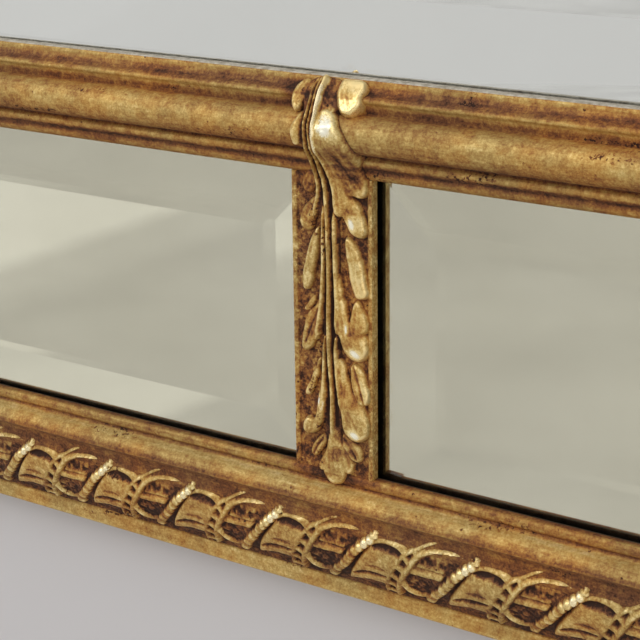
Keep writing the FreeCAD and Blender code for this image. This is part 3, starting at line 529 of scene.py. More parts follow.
def raised(work, height, tone, gloss=0.0, soft=0.0):
    """Keeps the higher of two surfaces at each place, with the tone and gloss of the one that is kept. Within a soft
    distance of each other they run together in a hollow curve."""
    share = np.clip(0.5 + 0.5 * (height - work["height"]) / max(soft, 1e-6), 0, 1)
    for label, value in (("height", height), ("tone", tone), ("gloss", gloss)):
        work[label] = np.where(share > 0, work[label] * (1 - share) + value * share, work[label])
    work["height"] = work["height"] + soft * share * (1 - share)


def domed(depth, rise, roll, fall=4.0):
    """A surface that rolls up from its edge to its full rise, and falls off steeply outside the edge."""
    inside = np.clip(depth / roll, 0, 1)
    return np.where(depth > 0, rise * np.sqrt(1 - (1 - inside) ** 2), fall * depth)


# Outlines and lines of one repeat, as places seen on the crown: (along the rail, down the bed).
BARREL = [(4.2, 18.8), (4.8, 16.6), (6.2, 13.8), (7.8, 11.2), (9.8, 8.4), (12, 5.6), (14.2, 3), (15.8, 1), (17.4, -0.4),
          (20.5, -0.7), (24, -0.6), (27, 0.6), (26.8, 2.6), (24.6, 5.4), (22.6, 8.4), (20.8, 11.6), (19.4, 14.8),
          (18.2, 18.6), (11, 19.6)]
# line, half width, depth and darkening
FLUTES = [([(15.2, 2.6), (17.4, 2), (20, 1.9), (23.4, 2.3), (26.4, 3.6)], 1.5, 1.3, 0.5),
          ([(12.6, 9), (15.4, 8.7), (19.4, 9)], 0.7, 0.25, 0.26),
          ([(7.4, 13.6), (10.4, 12.3), (14, 11.6), (20.4, 11.6)], 0.9, 0.7, 0.38)]
OPENING = [(10.4, -0.6), (8, -1), (5, -0.7), (2, 0), (-1, 0.7), (-3.4, 1.8), (-4.8, 4.4), (-6.6, 7.6), (-8.8, 10.8),
           (-9.8, 13.4), (-9, 15.6), (-7, 16.8), (-4.4, 15.9), (-1.2, 14.2), (1.6, 11.8), (3.8, 8.6), (6.2, 5.4),
           (9.4, 2)]
LOWER_RIM = [(-10.2, 11.4), (-9.9, 13.8), (-8.6, 16.2), (-6.4, 17.4), (-3.8, 17.4), (-0.8, 16.2)]
INNER_STRAND = [(11.6, -1.2), (10, -1.9), (7.6, -2.1), (4.6, -1.6), (1.8, -0.8), (-0.6, 0.2), (-3, 1.3), (-4.6, 2.9),
                (-6, 5), (-7.8, 7.6), (-9.6, 10.2), (-11, 13), (-12.2, 16), (-13, 19.6)]
OUTER_STRAND = [(5, -5.4), (3, -4.6), (0.4, -3.2), (-2, -1.4), (-4.2, 0.3), (-7, 1.6), (-9.6, 4), (-11.4, 6.8),
                (-13.4, 9.8), (-15, 13), (-16.2, 16.2), (-16.9, 19.2)]
BEAD_ROW = [(16.9, -2.4), (16.2, -1.5), (15.3, -0.4), (13.9, 1.2), (12.3, 2.5), (10.6, 4), (8.6, 5.8), (7, 7.8),
            (5.3, 9.9), (3.6, 11.9), (1.8, 13.8), (-0.6, 16.4), (-2.4, 19.4)]
LINK_STEP, TWIST_STEP, BEAD_STEP, UNDER, HIGHEST = 4.35, 1.9, 2.45, -4, 5.2


def arched(value, half):
    """The height of a round bar across it, from 1 on its middle to 0 at half its width."""
    return np.sqrt(np.clip(1 - (value / half) ** 2, 0, 1))


def ribbon_tile(cell=0.11):
    """One repeat of the ornament as heights over the bed, whose crown is a parabola across the bed and follows the
    scoop above it: a barrel with a lens-shaped flute, a ribbon of two strands wound round it from the left with open
    links between them, a row of beads on its right edge, and between them a round opening with a rod across.
    Everything leans to the right towards the plates."""
    along = np.arange(0, PITCH, PITCH / round(PITCH / cell))
    across = np.arange(BED_TOP, BED_FOOT + cell, cell)
    a0, v0 = np.meshgrid(along, across, indexing="ij")
    up = np.clip(-v0 / 8.15, 0, 1)
    scoop = -7.6 * up * (1 - up)
    crown = 0.7 + 3.6 * np.clip(1 - ((v0 - 11.45) / 11.45) ** 2, 0, 1) + scoop
    # a millimetre of rise moves a place by so much in the photograph's view
    a0, v = a0 - 0.94 * scoop, v0 + 1.27 * scoop
    turn = 128 / PITCH
    crumbly = ripple(a0 * turn, v * turn, 3.4, 7) + 0.7 * ripple(a0 * turn, v * turn, 8.1, 8)
    smooth = 0.10 * ripple(a0 * turn, v, 3.7, 5) + 0.07 * ripple(a0 * turn, v * 3, 9.1, 6)
    bed = np.where(v0 > -0.2, 0.5 + (crown - 2.7) * ease(20.5, 18.6, v), -3.2)
    work = {"height": bed, "tone": 0.18 + 0 * v, "gloss": 0 * v}
    for shift in (-PITCH, 0.0, PITCH):
        a = a0 + shift
        # the barrel, and the flutes cut in it
        face = depth_in(a, v, BARREL)
        barrel = crown - 1.2 + domed(face, 1.1, 1.3)
        tone = 0.55 - 0.12 * ease(2.2, 0.2, v) + 0.07 * crumbly
        under = 14.6 + 0.022 * (a - 15.5) ** 2
        barrel = barrel - 1.0 * ease(under, under + 0.9, v)
        # painted shade below the barrel's foot, where it falls away to the bed
        tone = tone - 0.36 * ease(under - 0.2, under + 0.8, v)
        for line, half, depth, darkening in FLUTES:
            gap, reach = nearest(a, v, rounded(line))
            taper = np.sqrt(np.clip(np.sin(np.pi * np.clip(reach / reach.max(), 0.02, 0.98)), 0.05, 1))
            cut = np.clip(1 - (gap / (half * taper)) ** 2, 0, 1)
            barrel = barrel - depth * cut
            tone = tone - (darkening + 0.06 * crumbly) * np.sqrt(cut)
        raised(work, np.where(face > -0.5, barrel, UNDER), tone)
        # the round opening, its rod and the ledge above it
        hole = depth_in(a, v, OPENING)
        grit = crumbly * ease(0.2, 1.2, hole)
        # the floor of the opening is dark, flecked lighter where the noise rises
        floor_tone = 0.19 + 0.22 * np.clip(grit - 0.15, -0.5, 1.2)
        raised(work, np.where(hole > -0.6, crown - 1.75 + 0.30 * grit, UNDER), floor_tone)
        rod = crown - 1.6 + 1.15 * arched(v - 7.3 + 0.02 * a, 1.0)
        raised(work, np.where((hole > 0.3) & (np.abs(v - 7.3) < 1.3), rod, UNDER), 0.46 + 0.05 * crumbly)
        ledge = crown - 1.7 + 0.75 * arched(v - 5.3 - 0.02 * a, 0.45)
        raised(work, np.where((hole > 0.9) & (np.abs(v - 5.3) < 0.7), ledge, UNDER), 0.44 + 0.06 * crumbly)
        gap, reach = nearest(a, v, rounded(LOWER_RIM))
        rim = crown - 0.35 - 1.2 * (gap / 1.15) ** 2 - 0.5 * ease(6, 12, reach)
        raised(work, rim, 0.76 - 0.3 * ease(5, 10, reach), 0.3)
        # the channel between the two strands, with links across it
        strip = depth_in(a, v, OUTER_STRAND + INNER_STRAND[::-1][:-3])
        _, reach = nearest(a, v, rounded(OUTER_STRAND))
        link = ease(-0.15, 0.75, np.cos(2 * np.pi * (reach - 11.6) / LINK_STEP)) * ease(9.6, 10.8, reach)
        raised(work, np.where(strip > 0, crown - 1.35 + 1.15 * link, UNDER), 0.18 + 0.38 * link)
        # the two strands, each with a light twist
        for line, half, lift, shine in ((INNER_STRAND, 1.05, 0.30, 0.57), (OUTER_STRAND, 0.8, 0.12, 0.52)):
            gap, reach = nearest(a, v, rounded(line))
            body = lift - 1.5 * (gap / half) ** 2 + 0.12 * np.cos(2 * np.pi * (reach / TWIST_STEP + gap * 0.25))
            thin = ease(-0.5, 4, reach)
            raised(work, crown + body - 0.9 * (1 - thin), shine - 0.16 * ease(3, 12, v) + 0.08 * crumbly, 0.2)
        # the band under the beads, and the beads, which are worn down towards the foot
        gap, reach = nearest(a, v, rounded(BEAD_ROW))
        band = crown - 0.75 - (gap / 1.5) ** 2 - 0.8 * ease(2, 0, reach)
        raised(work, band, 0.40 - 0.12 * ease(7, 12, reach) + 0.06 * crumbly)
        place = ((reach - 0.4) / BEAD_STEP) % 1 - 0.5
        bead = 1 - (gap / 1.5) ** 2 - (place * BEAD_STEP / 1.26) ** 2
        lift = 1.3 - 0.75 * ease(7, 13, reach)
        worn = ease(7.5, 9.5, reach) * (0.5 - 0.5 * np.cos(2 * np.pi * (reach - 6.2) / 4.3))
        bead = crown - 0.65 + lift * np.sqrt(np.clip(bead, 0, 1)) - 5 * (bead <= 0)
        tone = 0.90 - 0.24 * ease(4.4, 1.8, reach) - 0.28 * ease(8, 12, reach) - 0.3 * worn
        raised(work, bead, tone, 0.80 * ease(0.6, 3.6, reach) * ease(12, 7, reach))
    work["height"] = work["height"] + smooth * ease(-0.5, 1, v)
    work["tone"] = work["tone"] - 0.07 * ease(10, 14, v) * ease(19.5, 17.5, v)
    # painted light and shade: places higher than their blurred surroundings are lighter, lower ones darker
    small = blurred(work["height"], cell, cell, 0.8, True)
    wide = blurred(work["height"], cell, cell, 2.6, True)
    work["tone"] = work["tone"] + 0.22 * np.clip(work["height"] - small, -0.8, 0.7)
    work["tone"] = work["tone"] + 0.12 * np.clip(work["height"] - wide, -1.5, 1)
    work["height"] = blurred(work["height"], cell, cell, 0.13, True)
    return across, work


TILE_ACROSS, TILE = ribbon_tile()


def ornament(name, turn, cell, seed, part=(-1, 1), label=""):
    """The ribbon strip of one side, or a length of it: the tile repeated along the bed by the true place along the
    rail, mitred at both ends, and closed under the surface of the bed."""
    half = OUTER_SIGHT[0 if turn % 180 == 0 else 1]
    across = np.arange(BED_TOP, BED_FOOT, max(0.38, 0.6 * cell))
    out = BED_START[0] + BED_RUN[0] * across
    share = np.linspace(*part, int((part[1] - part[0]) * (half + 27) / cell))[:, None]
    along = share * (half + out)
    pull = along + 0.5 * ripple(along, 0 * along, 61, seed) + 0.25 * ripple(along, across * 4 + 0 * along, 23, seed + 1)
    rows, columns = TILE["height"].shape
    i = (pull / PITCH % 1) * rows
    j = np.clip((across - TILE_ACROSS[0]) / (TILE_ACROSS[1] - TILE_ACROSS[0]), 0, columns - 1.001)[None] + 0 * i
    i0, j0 = np.floor(i).astype(int), np.floor(j).astype(int)
    fi, fj = i - i0, j - j0

    def read(label):
        field = TILE[label]
        first = field[i0 % rows, j0] * (1 - fj) + field[i0 % rows, j0 + 1] * fj
        second = field[(i0 + 1) % rows, j0] * (1 - fj) + field[(i0 + 1) % rows, j0 + 1] * fj
        return first * (1 - fi) + second * fi

    height = read("height") * (1 + 0.06 * ripple(along, across * 3, 41, seed + 2))
    height = np.minimum(height + 0.10 * ripple(along, across, 6, seed + 3), HIGHEST)
    height[:, 0], height[:, -1] = -3.2, -1.0
    tops = np.stack([out - BED_RUN[1] * height, BED_START[1] + BED_RUN[1] * across + BED_RUN[0] * height], -1)
    under = np.broadcast_to(np.array([[37.0, 8.6], [13.0, 14.6]]), (len(share), 2, 2))
    line = np.concatenate([tops, under], 1)
    x = share * (half + np.concatenate([np.broadcast_to(out, along.shape), under[..., 0]], 1))
    rings = np.stack([x, -line[..., 1], -line[..., 0]], -1)
    pad = ((0, 0), (0, 2))
    tone = np.pad(read("tone") + 0.05 * ripple(along, across * 2, 27, seed + 4), pad, mode="edge")
    gloss = np.pad(read("gloss"), pad, mode="edge")
    lay = np.stack([x, np.pad(np.broadcast_to(across, along.shape), pad, mode="edge")], -1)
    carried(name + "_ribbon" + label, placed(rings, turn, OUTER_SIGHT), name, GILT_RIBBON,
            tone, gloss, lay, 80)


ornament("outer_ornament_bottom", 0, 0.34, 40, (-1, 0), "_left")
ornament("outer_ornament_bottom", 0, 0.34, 40, (0, 1), "_right")
for number, side in enumerate(("left", "top", "right")):
    ornament(f"outer_ornament_{side}", TURNS[side], 0.75, 47 + 7 * number)


# Straps between the border plates

STRAP_HALF, RIM, GROUND, STRAP_TOP, STRAP_UNDER = 13.75, 1.3, 16.4, 17.2, 13.91
WEB_RIGHT, WEB_LEFT, WEB_FOOT = 7.4, 0.6, 5.2


def strap(name, turn, half, length, peak, seed):
    """A strap with two raised rims and a rough ground, over the web that parts two plates. Each row across it is
    bent back by peak times its distance from the middle, which fits the strap of a corner into both corners."""
    step = 0.5
    inner = STRAP_HALF - RIM
    rims = np.array([inner, inner + 0.35, STRAP_HALF - 0.25, STRAP_HALF])
    x_top = np.concatenate([-rims[::-1], np.arange(-inner + 0.35, inner, step), rims])
    top = np.where(np.abs(x_top) > inner + 0.2, STRAP_TOP, GROUND)
    top = np.where(np.abs(x_top) > STRAP_HALF - 0.1, STRAP_TOP - 0.25, top)
    top = np.where(np.abs(np.abs(x_top) - inner) < 0.1, STRAP_TOP - 0.3, top)
    web = np.array([(13.6, STRAP_UNDER), (WEB_RIGHT, STRAP_UNDER), (WEB_RIGHT, WEB_FOOT), (WEB_LEFT, WEB_FOOT),
                    (WEB_LEFT, STRAP_UNDER), (-13.6, STRAP_UNDER)])
    x = np.concatenate([x_top, web[:, 0]])
    height = np.concatenate([top, web[:, 1]])
    share = np.linspace(0, 1, int(length / 0.7))[:, None]
    run = share * length
    ground = (np.abs(x) < inner - 0.2) & (height > 15)
    rough = 0.16 * ripple(run, x, 2.3, seed) + 0.10 * ripple(run, x, 0.9, seed + 1)
    worn = 0.07 * ripple(run, x * 0.3, 5.1, seed + 2)
    front = np.where(ground, rough, np.where(height > 16, worn - 0.07, 0))
    rings = np.stack([x + 0 * run, -(height + front), peak * np.abs(x) - run], -1)
    tone = np.where(ground, 0.30 + 1.0 * rough, np.where(height > 16, 0.58 + worn, 0.30)) + 0 * run
    tone = np.where((np.abs(x) > STRAP_HALF - 0.3) & (height < 17), 0.68, tone)
    # painted shade: the ground darker towards the right rim, most near the inner end of the strap
    tone = tone - ground * (0.08 * ease(3.0, 6.0, x) + 0.16 * ease(8.0, 11.0, x) * ease(24.0, 14.0, run))
    edge = (np.abs(x) > inner + 0.2) & (height > 16)
    tone = tone + np.where(edge, 0.10 * ripple(run, x, 3.0, seed + 3), 0)
    lay = np.stack([run + 0 * x, x + 0 * run], -1)
    # painted shade: the underside of the strap and its web get the near-black wash
    coats = np.where((height < 14.5) & (np.roll(height, -1) < 14.5), 2, 0)
    carried(name + "_gilt", placed(rings, turn, half), name, GILT_STRAP, tone, 0 * tone, lay, coats=coats)


for number, (side, turn) in enumerate(TURNS.items()):
    strap(f"divider_{side}", turn, INNER_BLOCK, BORDER_OUT - BLOCK_OUT, 0.0, 80 + 5 * number)
for number, (corner, turn) in enumerate(CORNERS.items()):
    strap(f"corner_divider_{corner}", turn, INNER_BLOCK, (BORDER_OUT - BLOCK_OUT) * math.sqrt(2), 1.0, 110 + 5 * number)


# Carved leaves

LEAF_PATH = [(0.3, 17.4), (1.2, 18.4), (4, 21), (7, 22.6), (10, 24.4), (12.5, 26.6), (15, 27.2), (18, 26.4), (20.5, 24),
             (22.5, 21.9), (25, 20.2), (28.4, 18.6), (32, 17.9), (40, 17.8), (119, 17.8), (124, 17.6)]


def leaf_path(cell):
    """The middle line of the leaf's skin from the main plate's edge over the round moulding and down the strap:
    places out, heights, outward normals and the depth to the wood under it, at even steps of its length."""
    knots = np.array(LEAF_PATH)
    run = run_along(knots)
    fine = np.arange(0, run[-1], 0.1)
    line = np.stack([np.interp(fine, run, knots[:, k]) for k in (0, 1)], 1)
    wide = np.pad(line, ((12, 12), (0, 0)), mode="reflect", reflect_type="odd")
    line = np.stack([np.convolve(wide[:, k], bell(12, 1, 6.0), mode="valid") for k in (0, 1)], 1)
    length = run_along(line)
    even = np.arange(0, length[-1], cell)
    path = np.stack([np.interp(even, length, line[:, k]) for k in (0, 1)], 1)
    tangent = np.gradient(path, axis=0)
    tangent /= np.hypot(*tangent.T)[:, None]
    normal = np.stack([-tangent[:, 1], tangent[:, 0]], 1)
    wood = moulding_line(INNER_FACE)
    wood = wood[wood[:, 1] > 15.5]
    wood = wood[np.argsort(wood[:, 0])]
    sink = np.arange(0, 7, 0.05)
    out = path[:, None, 0] - normal[:, None, 0] * sink
    height = path[:, None, 1] - normal[:, None, 1] * sink
    surface = np.where(out < BLOCK_OUT, np.interp(out, wood[:, 0], wood[:, 1]), GROUND)
    surface = np.where(out > BORDER_OUT, 17.0, surface)
    under = height < surface
    depth = sink[np.where(under.any(1), under.argmax(1), len(sink) - 1)] + 0.55
    return path, normal, depth, even, np.interp(np.arange(0, 126, 0.5), line[:, 0], length)


# The lobes: outline, then base, rise, roll, tone, gloss, roughness, vein, whether it climbs to its tip, and how softly
# it joins what it covers. All places are (across the strap, out from the main plate's edge).
LOBES = [
    # the skin of the stalk, first over the round moulding and then down the strap
    ([(-4.2, -1), (-5.2, 4), (-5, 9), (-4.8, 14), (-4.6, 18), (-4.4, 24), (-4.8, 30), (-4.9, 36), (-3.6, 42), (3, 42),
     (4.4, 36), (5, 30), (5.6, 24), (5.2, 18), (5.4, 12), (5.2, 6), (5, -1)], -0.7, 0.3, 0.8, 0.22, 0, 0.14),
    ([(-2.9, 38), (-3, 60), (-3, 80), (-3.6, 100), (-2, 112), (2, 112), (3.2, 100), (2.8, 80), (2.6, 60), (2.6, 38)],
     -0.9, 0.35, 0.9, 0.2, 0, 0.12),
    ([(-5.4, -2), (-5.6, 4), (-5.2, 8.8), (-1, 9.6), (3, 9.8), (6, 9), (6.2, 4), (5.6, -2)], -0.25, 0.35, 0.6, 0.30, 0,
     0.2, None, False),
    # where the leaf springs, beside the main plate
    ([(-6.2, 0.2), (-9, 1.4), (-10, 4), (-9.9, 7), (-8, 9.3), (-6.6, 9.2), (-5.4, 6.4), (-5, 2)], -0.9, 1.3, 1.6, 0.6,
     0.1, 0.16),
    ([(-4.6, 0), (-5.2, 2), (-4.2, 4.6), (-3.2, 6.5), (-2.4, 5), (-2.4, 0.4)], -0.5, 0.9, 0.9, 0.66, 0.3, 0.14),
    ([(-4.6, 8.8), (-5.9, 11), (-6.9, 13.4), (-6.9, 16.4), (-5.8, 18.6), (-4.4, 18.4), (-3.6, 15), (-3.6, 11.4)], -0.25,
     1, 1.3, 0.60, 0.1, 0.12, None, False),
    ([(5.1, -0.4), (8.4, -0.6), (12.6, 0.2), (13.7, 2), (13, 3.8), (13.5, 5.6), (12.8, 7.4), (10.6, 9.2), (7.6, 8.8),
     (5.8, 6.6), (4.8, 3)], -0.5, 1.2, 1.2, 0.84, 0.7, 0.06, None, False),
    # the shoulder over the round moulding, which runs down beside the main rib into the brown fold
    ([(0.6, 8.4), (3.6, 8), (6.4, 9), (8.4, 11.4), (10.2, 14.4), (11.6, 17.4), (13, 20.4), (13.2, 23.4), (11.4, 26.4),
     (8, 28.6), (3.6, 29.4), (1.2, 27), (0.8, 19)], -0.5, 1.5, 2.6, 0.56, 0.2, 0.14, None, False),
    ([(0.8, 14), (3.6, 14), (5, 18), (5, 22), (5, 26), (5.6, 30), (6.6, 33), (7.2, 36), (5.4, 39), (3.2, 40.6),
     (2.2, 36.6), (1.6, 30), (0.8, 23)], 0, 1.2, 2.2, 0.68, 0.4, 0.07, None, False),
    # right lobes
    ([(1.6, 20.4), (5.6, 20.4), (9.8, 22), (12.4, 25.6), (13.1, 30.2), (12.2, 33.2), (10.2, 34.1), (7.4, 33.4),
     (5.2, 35.2), (2.6, 36), (1.6, 30)], -0.6, 1.4, 1.6, 0.46, 0, 0.22),
    ([(2, 33), (5.4, 34.2), (7.6, 33.9), (9.4, 35.4), (11, 38.2), (12.2, 41.8), (12.4, 44.2), (11, 45.6), (8.6, 45.3),
     (6.6, 44), (5.2, 41.4), (4.2, 39.7), (2.5, 39.4), (2.2, 36.6)], -0.5, 1.5, 1.5, 0.66, 0.3, 0.16),
    ([(4.8, 45.6), (7.6, 46.6), (9.6, 50), (11.3, 53.8), (12.1, 57.8), (13.1, 60.8), (12.6, 62.9), (10.2, 63.9),
     (8.2, 62.9), (6.8, 58.6), (5.7, 53.6), (4.9, 49.4)], -0.7, 1.9, 1.8, 0.70, 0.4, 0.12),
    ([(2.6, 56), (3.6, 62), (5.6, 67.6), (7.4, 73.4), (6.4, 78.4), (3.2, 76), (1.8, 75), (1.5, 70.4), (2, 64)], -0.6,
     1.5, 1.3, 0.58, 0.1, 0.24),
    ([(8, 64.6), (9.8, 64.4), (11, 67), (13.2, 70.4), (13, 73.2), (11, 74.2), (8, 75.6), (6.5, 72.4), (6.9, 67.8)],
     -0.6, 1.9, 1.5, 0.60, 0.2, 0.16, None, True, 0.7),
    ([(3, 74.6), (5, 71), (8.6, 70.6), (11.4, 73.2), (12.6, 75.6), (13.1, 79), (11.7, 81.7), (8.9, 82.8), (6.2, 81.9),
     (4.2, 79.6), (3.2, 76.8)], -0.5, 2.2, 2.8, 0.66, 0.3, 0.16, None, True, 1),
    ([(6.4, 84.4), (8.4, 83.3), (10.6, 85.4), (12.2, 88.8), (13.5, 91.8), (13.4, 94.6), (11.8, 95.9), (9.7, 95.4),
     (7.7, 92.3), (6.5, 88.2)], -0.7, 1.8, 1.5, 0.68, 0.3, 0.16, [(7.6, 84.4), (9.4, 88), (10.8, 91.6), (11.6, 95)]),
    ([(2, 82), (4.2, 84), (5.6, 88.4), (7.4, 92.6), (9, 95.6), (6.6, 99), (3.6, 100), (2.8, 95.2), (2.2, 90)], -0.6,
     1.5, 1.4, 0.60, 0.1, 0.24),
    ([(3, 94), (5.6, 91.6), (8.4, 92.6), (11.2, 96.4), (13.4, 100.8), (13.3, 104.2), (11.3, 106.8), (8.6, 107.9),
     (5.6, 106.4), (3.7, 103.4)], -0.5, 2.4, 3.2, 0.66, 0.3, 0.16, None, True, 1),
    # left lobes
    ([(-4.4, 27), (-7.8, 28.2), (-10, 31.4), (-9.4, 34.2), (-7.2, 34.6), (-5, 33)], -0.9, 0.8, 1.4, 0.38, 0, 0.22),
    ([(-4.2, 29.8), (-4.6, 34.6), (-7.2, 36.4), (-9.4, 38.8), (-10.5, 41.6), (-10.2, 44.6), (-8, 45.8), (-6, 44.8),
     (-5.3, 41.4), (-4.2, 38), (-3.4, 33)], -0.7, 1.4, 1.5, 0.50, 0.1, 0.22),
    ([(-4, 43), (-6.4, 46.2), (-8.2, 51.2), (-9.6, 57.6), (-9.9, 61.8), (-8.9, 63.7), (-7.3, 62.9), (-5.9, 58.2),
     (-4.9, 53), (-4.5, 48)], -0.7, 1.7, 1.6, 0.66, 0.2, 0.12),
    ([(-5.8, 64.2), (-8.2, 67), (-10, 69.4), (-8.6, 70.2), (-6.6, 68.6), (-5.4, 66.2)], -0.9, 1.1, 1, 0.48, 0, 0.2),
    ([(-3, 62), (-5, 67.6), (-8.6, 70.4), (-9.7, 74.6), (-10.4, 79), (-10.4, 81.8), (-9, 82.8), (-6.8, 80.8),
     (-5.2, 77.9), (-3.5, 76), (-2.7, 70)], -0.7, 1.4, 1.3, 0.50, 0.1, 0.26, [(-4.4, 68.6), (-6.4, 73.4), (-8.6, 79)]),
    ([(-4.6, 83.2), (-6.2, 87.6), (-7.8, 91.2), (-9.3, 94.2), (-9.5, 96), (-8, 96.4), (-6.3, 93.2), (-5, 90.2),
     (-4.4, 86.2)], -0.8, 1.2, 1, 0.5, 0, 0.2),
    ([(-1.5, 84), (-3.6, 89), (-4.8, 95), (-5.5, 100.4), (-6.2, 103.2), (-8.4, 102.4), (-10.2, 104.2), (-10.4, 107.6),
     (-8.4, 108.6), (-5.4, 107.4), (-3.8, 104.6), (-2.4, 100.8), (-1.7, 95)], -0.6, 1.5, 1.2, 0.62, 0.3, 0.16),
    ([(-2.6, 93.6), (-4, 95.6), (-4.2, 99.6), (-3, 100.8), (-2.2, 97.6)], 0.1, 1.1, 1.2, 0.84, 0.8, 0.06),
    # the fan at the foot
    ([(-2.2, 106.8), (-5.4, 108.8), (-7.5, 111.8), (-7.8, 114.4), (-6.2, 115.4), (-4.4, 113.6), (-2.6, 111)], -0.9, 1.3,
     1, 0.50, 0, 0.18, [(-3.4, 109), (-5.4, 111.4), (-6.6, 114.2)]),
    ([(3, 105.8), (6.2, 107.4), (9.4, 108.8), (10.4, 111), (10, 113.8), (7.6, 114.2), (5.2, 112.8), (3.2, 109.4)], -0.9,
     1.2, 1.2, 0.46, 0, 0.22, [(4, 107.4), (6.6, 109.8), (8.6, 113)]),
    ([(2.2, 108.4), (5.2, 111), (7, 113.4), (7.6, 115.8), (6.6, 118.4), (4.8, 118.6), (2.6, 114.6)], -0.6, 1.1, 1.2,
     0.58, 0.1, 0.18),
    ([(-1.4, 108.8), (-2.8, 113.4), (-4.8, 116), (-5.1, 118.4), (-3.6, 119.6), (-1.6, 117)], -0.6, 1.1, 1.2, 0.56, 0.1,
     0.18),
    ([(-0.8, 105), (-1.8, 110.6), (-2.9, 115.6), (-3.3, 119.4), (-2, 121.8), (0.8, 122.9), (3.4, 122.1), (4.8, 119.8),
     (4.5, 115.6), (3.2, 110), (2.2, 105)], -0.4, 1.3, 1.8, 0.60, 0.1, 0.20),
    ([(-2.2, 119), (0.4, 118.4), (3.6, 118.6), (4.4, 120), (3, 121.9), (0.8, 122.6), (-1.6, 121.6)], 0, 1.1, 1.2, 0.72,
     0.3, 0.12),
]
# the ribs of the stalk: line, half width, top, tone, gloss, length of the ends, narrowing
RIBS = [
    ([(-2.9, 1), (-2.9, 6), (-2.8, 11), (-1.9, 14), (-1.7, 16.4), (-2.8, 19.6), (-3.8, 23), (-4.1, 27), (-3.6, 31.4),
     (-3.9, 34.6), (-4.9, 37.8), (-5.6, 40.4)], 0.58, 1.3, 0.54),
    ([(-1.7, 0.4), (-1.7, 8), (-1, 12), (0.1, 15.6), (-0.4, 18.4), (-1.3, 22.2), (-1.8, 26.4), (-1.3, 31.6), (-1, 36),
     (-0.8, 42), (-0.5, 55), (-0.5, 62), (-0.7, 72), (-0.6, 82), (0.2, 90), (0.5, 96), (0.2, 101), (0.2, 108)], 0.64,
     1.5, 0.58),
    ([(0.1, -0.4), (-0.2, 5), (-0.1, 8.4), (0.7, 11.4), (1.4, 14.4), (1.2, 18), (1, 20.4)], 1.15, 2.1, 0.80, 0.8, 1,
     0.7),
    ([(1.4, 14.4), (1.2, 18), (0.9, 21.6), (1.1, 25.6), (1.8, 30), (2.3, 34), (2.4, 37), (3, 39.6)], 0.9, 1.9, 0.60,
     0.4, 1, 0.7),
    ([(-2.2, 38), (-2.3, 46), (-2.3, 53), (-2.7, 60), (-3.1, 65), (-3.8, 70), (-4.5, 74), (-5.2, 77.6)], 0.75, 1.2,
     0.62),
    ([(1.2, 39), (1.4, 46), (1.6, 53), (1.9, 60), (2.2, 66), (2, 70), (1.9, 75)], 0.7, 1.2, 0.60),
    ([(-2.1, 77), (-2.3, 84), (-2.6, 90), (-3.1, 95), (-3.6, 100), (-4.5, 104)], 0.7, 1.3, 0.64),
    ([(1.4, 77), (1.7, 84), (2.2, 90), (2.9, 95), (3.4, 99)], 0.65, 1.2, 0.60),
]
# dark folds between the ribs, and streaks down the shoulder: line, half width, depth, darkening
FOLDS = [
    ([(-2.3, 2), (-2.2, 9), (-1.3, 13), (-0.9, 17), (-2, 21), (-2.9, 26), (-2.4, 32), (-2.6, 36)], 0.5, 0.9, 0.4),
    ([(-0.9, 2), (-0.9, 8), (0, 12.6), (0.8, 16), (0.4, 19.6), (-0.2, 23.4), (-0.1, 28), (0.4, 33), (0.7, 38),
     (0.6, 44)], 0.55, 1, 0.4),
    ([(-1.5, 42), (-1.5, 60), (-1.8, 76), (-1.4, 90), (-1.4, 104)], 0.5, 0.8, 0.4),
    ([(0.5, 44), (0.6, 60), (0.6, 80), (1.3, 94), (1.6, 104)], 0.5, 0.8, 0.4),
    ([(5.8, 16.4), (6.6, 20.4), (7.2, 25)], 1.3, 0.25, 0.22),
    ([(9.4, 17.4), (10.6, 20.4), (11.2, 24.6)], 1.2, 0.2, 0.2),
]
# painted highlights on the shoulder and on the tips of the fullest lobes: place, width, length, lean
PAINTED_HIGHLIGHTS = [(4.6, 12.6, 3.9, 3.9, 0.25), (9.2, 79.8, 2.6, 1.5, 0.3), (5.8, 73, 0.7, 2, 0), (9, 105, 2.3, 1.6, 0.2),
         (-4.2, 96.8, 0.7, 1.8, 0), (7.8, 41.5, 1.6, 2.2, 0.6)]


